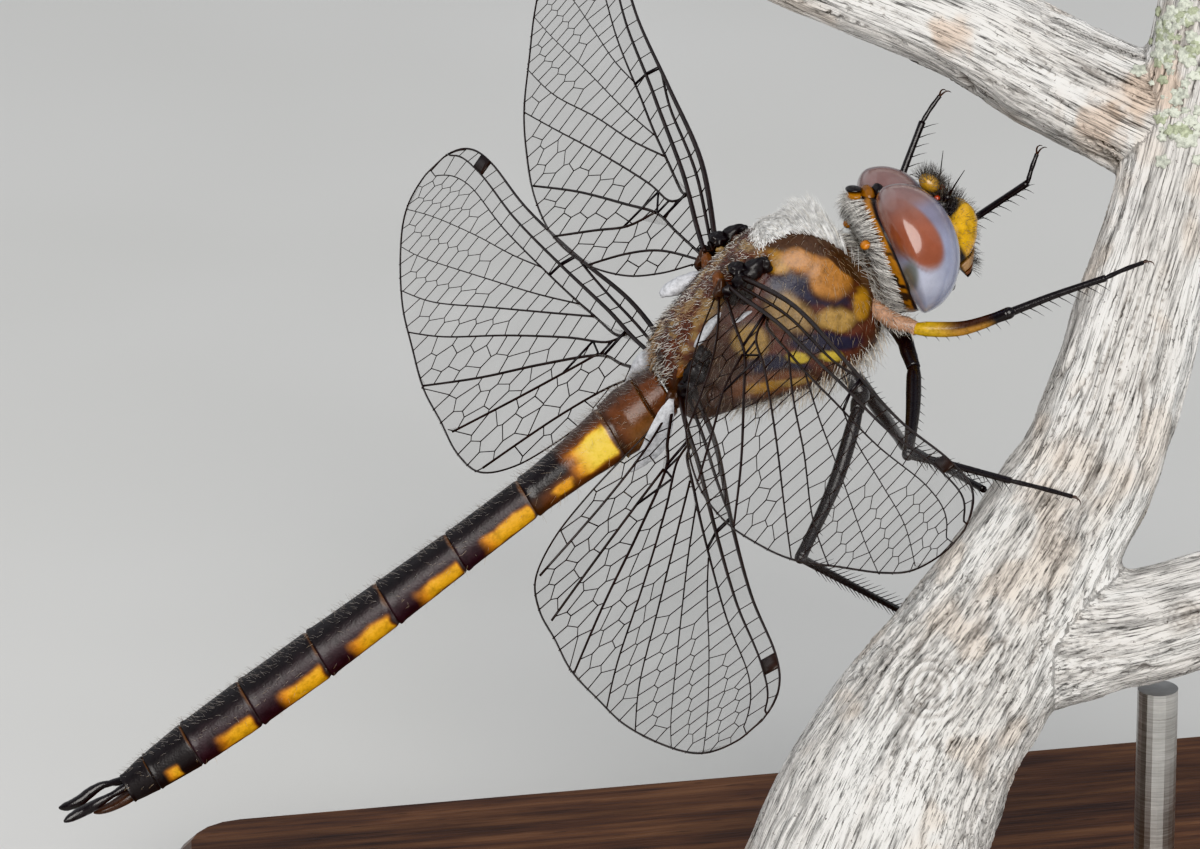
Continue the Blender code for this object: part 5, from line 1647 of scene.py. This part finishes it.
def limb_mesh(axis, cut_level):
    """A limb's closed tube, cut level at its foot where asked."""
    points, faces = tube(axis["centre"], axis["radius"] * LIMB_SKIN, 32)
    part = bmesh.new()
    verts = [part.verts.new(p) for p in points]
    for face in faces:
        part.faces.new([verts[i] for i in face])
    if cut_level:
        whole = part.verts[:] + part.edges[:] + part.faces[:]
        cut = bmesh.ops.bisect_plane(part, geom=whole, dist=1e-5, plane_co=(0.0, 0.0, PERCH_CUT),
                                     plane_no=(0.0, 0.0, 1.0), clear_inner=True)
        rim = [item for item in cut["geom_cut"] if isinstance(item, bmesh.types.BMEdge)]
        bmesh.ops.contextual_create(part, geom=rim)
    mesh = bpy.data.meshes.new("limb")
    part.to_mesh(mesh)
    part.free()
    return mesh


def joined_limbs(axes):
    """One skin round all the limbs, with soft forks: its points, normals and faces."""
    bm = bmesh.new()
    for number, axis in enumerate(axes):
        mesh = limb_mesh(axis, number == 0)
        bm.from_mesh(mesh)
        bpy.data.meshes.remove(mesh)
    mesh = bpy.data.meshes.new("limbs")
    bm.to_mesh(mesh)
    bm.free()
    rough = bpy.data.objects.new("limbs", mesh)
    bpy.context.scene.collection.objects.link(rough)
    remesh = rough.modifiers.new("skin", "REMESH")
    remesh.mode, remesh.voxel_size = "VOXEL", BARK_VOXEL
    smooth = rough.modifiers.new("soften", "SMOOTH")
    smooth.factor, smooth.iterations = 0.6, round(1.8 / BARK_VOXEL)
    whole = rough.evaluated_get(bpy.context.evaluated_depsgraph_get()).to_mesh()
    points = np.array([v.co for v in whole.vertices])
    normals = np.array([v.normal for v in whole.vertices])
    faces = [tuple(p.vertices) for p in whole.polygons]
    bpy.data.objects.remove(rough, do_unlink=True)
    bpy.data.meshes.remove(mesh)
    return points, normals, faces


def grain_places(points, axes):
    """Each point's place in its nearest limb: two measures across and one along."""
    best = np.full(len(points), 1e9)
    grain = np.zeros_like(points)
    for number, axis in enumerate(axes):
        for start in range(0, len(points), 4000):
            chunk = points[start:start + 4000]
            gap = np.linalg.norm(chunk[:, None] - axis["centre"][None], axis=2)
            near = gap.argmin(axis=1)
            share = gap[np.arange(len(chunk)), near] / axis["radius"][near]
            offset = chunk - axis["centre"][near]
            along = axis["along"][near]
            side = axis["side"][near]
            place = np.stack([np.sum(offset * side, axis=1), np.sum(offset * np.cross(along, side), axis=1),
                              axis["length"][near] + np.sum(offset * along, axis=1) + 50.0 * number], axis=1)
            better = share < best[start:start + 4000]
            grain[start:start + 4000][better] = place[better]
            best[start:start + 4000] = np.minimum(best[start:start + 4000], share)
    return grain


def bark_relief(points, grain):
    """Fissures along the grain, swellings and the knots' rings; also how cracked each point is."""
    bent = grain + 0.22 * np.stack([lattice_noise(points, 2.6, seed) for seed in (31, 32, 33)], axis=1)
    wide = np.abs(lattice_noise(bent, (0.75, 0.75, 11.0), 34))
    narrow = np.abs(lattice_noise(bent, (0.30, 0.30, 5.0), 35))
    torn = ease(lattice_noise(points, 3.5, 36, 2), -0.35, 0.15)
    crack = np.maximum((1.0 - ease(wide, 0.0, 0.05)) * torn, 0.65 * (1.0 - ease(narrow, 0.0, 0.12)) * torn)
    relief = -0.20 * crack + 0.13 * lattice_noise(bent, (0.24, 0.24, 3.4), 37, 3) - 0.10
    relief += 0.12 * lattice_noise(points, 2.4, 38, 2)
    ring_shade = np.zeros(len(points))
    for x, y, z, size in KNOTS:
        away = np.linalg.norm(points - (x, y, z), axis=1) / size
        bump = ease(away, 1.6, 0.9)
        rings = 0.5 + 0.5 * np.cos(away * 19.0 + 1.2 * lattice_noise(points, 0.7, 39))
        relief = relief * (1.0 - 0.6 * bump) + bump * (0.16 - 0.16 * rings - 0.25 * ease(away, 0.35, 0.10))
        ring_shade = np.maximum(ring_shade, bump * rings * 0.8)
    return relief, np.maximum(crack, ring_shade)


def bark_colours(points, grain, crack, cut):
    """Weathered grey wood with tan patches and dark cracks, and fresher faces where it's cut."""
    pale = lattice_noise(grain * (1.0, 1.0, 0.12), 1.3, 51, 3)
    colours = np.broadcast_to(WOOD_GREY, points.shape).astype(float)
    colours = blend(colours, ease(pale, -0.15, 0.35), WOOD_PALE)
    colours = blend(colours, ease(lattice_noise(points, 2.2, 52, 3), 0.12, 0.42) * 0.30, WOOD_TAN)
    for x, y, z, size in TAN_PATCHES:
        away = np.linalg.norm(points - (x, y, z), axis=1) / size + 0.8 * lattice_noise(points, 0.9, 53, 3)
        colours = blend(colours, ease(away, 1.2, 0.6) * 0.6, PATCH_TAN)
    colours = blend(colours, crack * 0.72, WOOD_DARK)
    rings = 0.5 + 0.5 * np.cos(np.hypot(grain[:, 0], grain[:, 1]) * 9.0 + lattice_noise(points, 1.0, 54))
    face = blend(np.broadcast_to(CUT_FACE, points.shape).astype(float), rings * 0.5, CUT_RING)
    return colours * (1.0 - cut[:, None]) + face * cut[:, None]


def build_perch():
    """The weathered wood with its lichen."""
    axes = [limb_axis(rows) for rows in (MAIN_LIMB, UPPER_LIMB, SIDE_STUB)]
    points, normals, faces = joined_limbs(axes)
    grain = grain_places(points, axes)
    relief, crack = bark_relief(points, grain)
    cut = np.zeros(len(points))
    ends = [((0.0, 0.0, PERCH_CUT), (0.0, 0.0, -1.0)), (axes[0]["centre"][-1], axes[0]["along"][-1]),
            (axes[1]["centre"][0], -axes[1]["along"][0]), (axes[2]["centre"][-1], axes[2]["along"][-1])]
    for centre, outward in ends:
        above = (points - centre) @ np.asarray(outward)
        near = np.linalg.norm(points - centre, axis=1) < 6.5
        facing = ease(normals @ np.asarray(outward), 0.5, 0.85)
        cut = np.maximum(cut, ease(above, -0.22, -0.05) * near * facing)
    relief = relief * (1.0 - cut) - 0.02
    colours = bark_colours(points, grain, crack, cut)
    shape = Shape().add(points + normals * relief[:, None], faces, colours)
    add_piece("perch_wood", shape, WORLD, "bark", ["perch_main", "perch_upper", "perch_stub"],
              grain=grain)
    build_lichen(points, normals)


def build_lichen(points, normals):
    """Crusts of pale lichen on the upper part of the main limb."""
    rng = np.random.default_rng(SEED + 500)
    shape = Shape()
    for centre, spread, count in LICHEN_SPOTS:
        away = np.linalg.norm(points - centre, axis=1)
        likely = rng.random(len(points)) < np.exp(-(away / spread) ** 2)
        pool = np.flatnonzero(likely & (away < spread * 2.2))
        for k in rng.choice(pool, min(count, len(pool)), replace=False):
            size = rng.uniform(0.14, 0.34)
            lobe, faces = ball((0.0, 0.0, 0.0), (0.09, size, size * rng.uniform(0.6, 1.0)), 12, 18)
            frill = 1.0 + 0.22 * np.cos(5.0 * np.arctan2(lobe[:, 2], lobe[:, 1]) + rng.uniform(0.0, 6.0))
            lobe[:, 1:] *= frill[:, None]
            lobe += 0.02 * lattice_noise(lobe + rng.uniform(0, 50), 0.1, 58, 2)[:, None]
            turn = np.array(Vector(normals[k]).to_track_quat("X", "Z").to_matrix())
            tint = np.array(LICHEN_PALE) * rng.uniform(0.85, 1.1) if rng.random() < 0.65 else LICHEN_GREEN
            shape.add(lobe @ turn.T + points[k] - normals[k] * 0.08, faces, np.clip(tint, 0.0, 1.0))
    add_piece("perch_lichen", shape, WORLD, "lichen")


# --- the stage ----------------------------------------------------------------------
def build_camera():
    """The camera of the picture, turned and raised about its target."""
    data = bpy.data.cameras.new("camera")
    data.sensor_width = SENSOR
    data.lens = SENSOR * VIEW_DISTANCE / VIEW_WIDTH
    data.clip_start, data.clip_end = 0.01, 10.0
    camera = bpy.data.objects.new("camera", data)
    bpy.context.scene.collection.objects.link(camera)
    back = Vector((math.sin(VIEW_TURN) * math.cos(VIEW_RISE), -math.cos(VIEW_TURN) * math.cos(VIEW_RISE),
                   math.sin(VIEW_RISE)))
    camera.location = (Vector(VIEW_TARGET) + back * VIEW_DISTANCE) * MM
    camera.rotation_euler = back.to_track_quat("Z", "Y").to_euler()
    bpy.context.scene.camera = camera


def add_light(name, location, size, power, colour=(1.0, 1.0, 1.0), tall=1.0, roll=0.0):
    """An oval lamp aimed at the thorax; tall stretches it and roll turns it about its aim."""
    data = bpy.data.lights.new(name, "AREA")
    data.shape, data.size, data.size_y, data.energy, data.color = "ELLIPSE", size, size * tall, power, colour
    light = bpy.data.objects.new(name, data)
    bpy.context.scene.collection.objects.link(light)
    light.location = location
    aim = Vector(THORAX_AT) * MM - Vector(location)
    light.rotation_euler = (aim.to_track_quat("-Z", "Y") @ Euler((0.0, 0.0, roll)).to_quaternion()).to_euler()


def build_stage():
    """A light grey floor, a pale sky and three lamps."""
    mesh = bpy.data.meshes.new("floor")
    reach = 3.0
    corners = [(-reach, -reach), (reach, -reach), (reach, reach), (-reach, reach)]
    mesh.from_pydata([(x, y, -0.0001) for x, y in corners], [], [(0, 1, 2, 3)])
    mesh.materials.append(floor_look("floor"))
    floor = bpy.data.objects.new("floor", mesh)
    bpy.context.scene.collection.objects.link(floor)
    world = bpy.data.worlds.new("studio")
    world.use_nodes = True
    world.node_tree.nodes["Background"].inputs["Color"].default_value = (0.80, 0.83, 0.88, 1.0)
    world.node_tree.nodes["Background"].inputs["Strength"].default_value = 0.42
    bpy.context.scene.world = world
    bpy.context.scene.view_settings.view_transform = "Khronos PBR Neutral"
    add_light("key", (-0.05, -0.40, 0.30), 0.40, 3.3, (1.0, 0.97, 0.93), tall=1.4, roll=math.radians(75.0))
    add_light("fill", (0.45, -0.05, 0.45), 0.80, 0.50, (0.92, 0.96, 1.0))
    add_light("rim", (-0.30, 0.30, 0.35), 0.80, 0.80)


# --- everything ---------------------------------------------------------------------
LOOKS = {
    "membrane": membrane_look("wing_film"),
    "vein": vein_look("wing_veins"),
    "thorax": shell_look("thorax", (0.34, 0.55), Coat_Weight=0.12, Coat_Roughness=0.25),
    "head": shell_look("head", (0.25, 0.45), Coat_Weight=0.2, Coat_Roughness=0.25),
    "cord": shell_look("wing_cords", (0.6, 0.85), 0.2, 0.02, 0.05, 0.004),
    "front_abdomen": shell_look("front_abdomen", (0.28, 0.47), Coat_Weight=0.15, Coat_Roughness=0.16),
    "abdomen": shell_look("abdomen", (0.36, 0.56), Coat_Weight=0.05, Coat_Roughness=0.18),
    "eye": eye_look("compound_eye"),
    "ocellus": shell_look("ocellus", (0.08, 0.14), 0.2, 0.002, 0.03, 0.001,
                          Coat_Weight=1.0, Coat_Roughness=0.05),
    "face": shell_look("face", (0.18, 0.32), Coat_Weight=0.45, Coat_Roughness=0.14),
    "lower_face": shell_look("lower_face", (0.30, 0.50), Coat_Weight=0.2, Coat_Roughness=0.3),
    "leg": shell_look("leg", (0.20, 0.38), 0.25, 0.02, 0.06, 0.006, Coat_Weight=0.25, Coat_Roughness=0.2),
    "hair": hair_look("pale_hair"),
    "dark_hair": hair_look("dark_hair"),
    "bark": bark_look("bark"),
    "lichen": lichen_look("lichen"),
    "base": base_look("stand_base"),
    "steel": steel_look("stand_steel"),
}


def dress_stand():
    """The stand keeps its own solids and gets its wood and steel."""
    for name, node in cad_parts.items():
        if name.startswith("stand_"):
            look = LOOKS["base" if name == "stand_base" else "steel"]
            node.data.materials.clear()
            node.data.materials.append(look)


def main():
    """Builds every piece; the camera and the stage come first."""
    build_camera()
    build_stage()
    dress_stand()
    for number, (kind, plan) in enumerate((("forewing", FOREWING), ("hindwing", HINDWING))):
        for name, side in both_sides(kind):
            build_wing(name, plan, side, np.random.default_rng(SEED + number * 10 + int(side)))
    grow_thorax_coat(*build_thorax())
    grow_abdomen_coat(build_abdomen())
    build_eyes()
    grow_head_coat(*build_skull())
    build_face()
    grow_face_coat()
    build_perch()
    for name, joints in LEGS.items():
        build_leg(name, joints)


main()
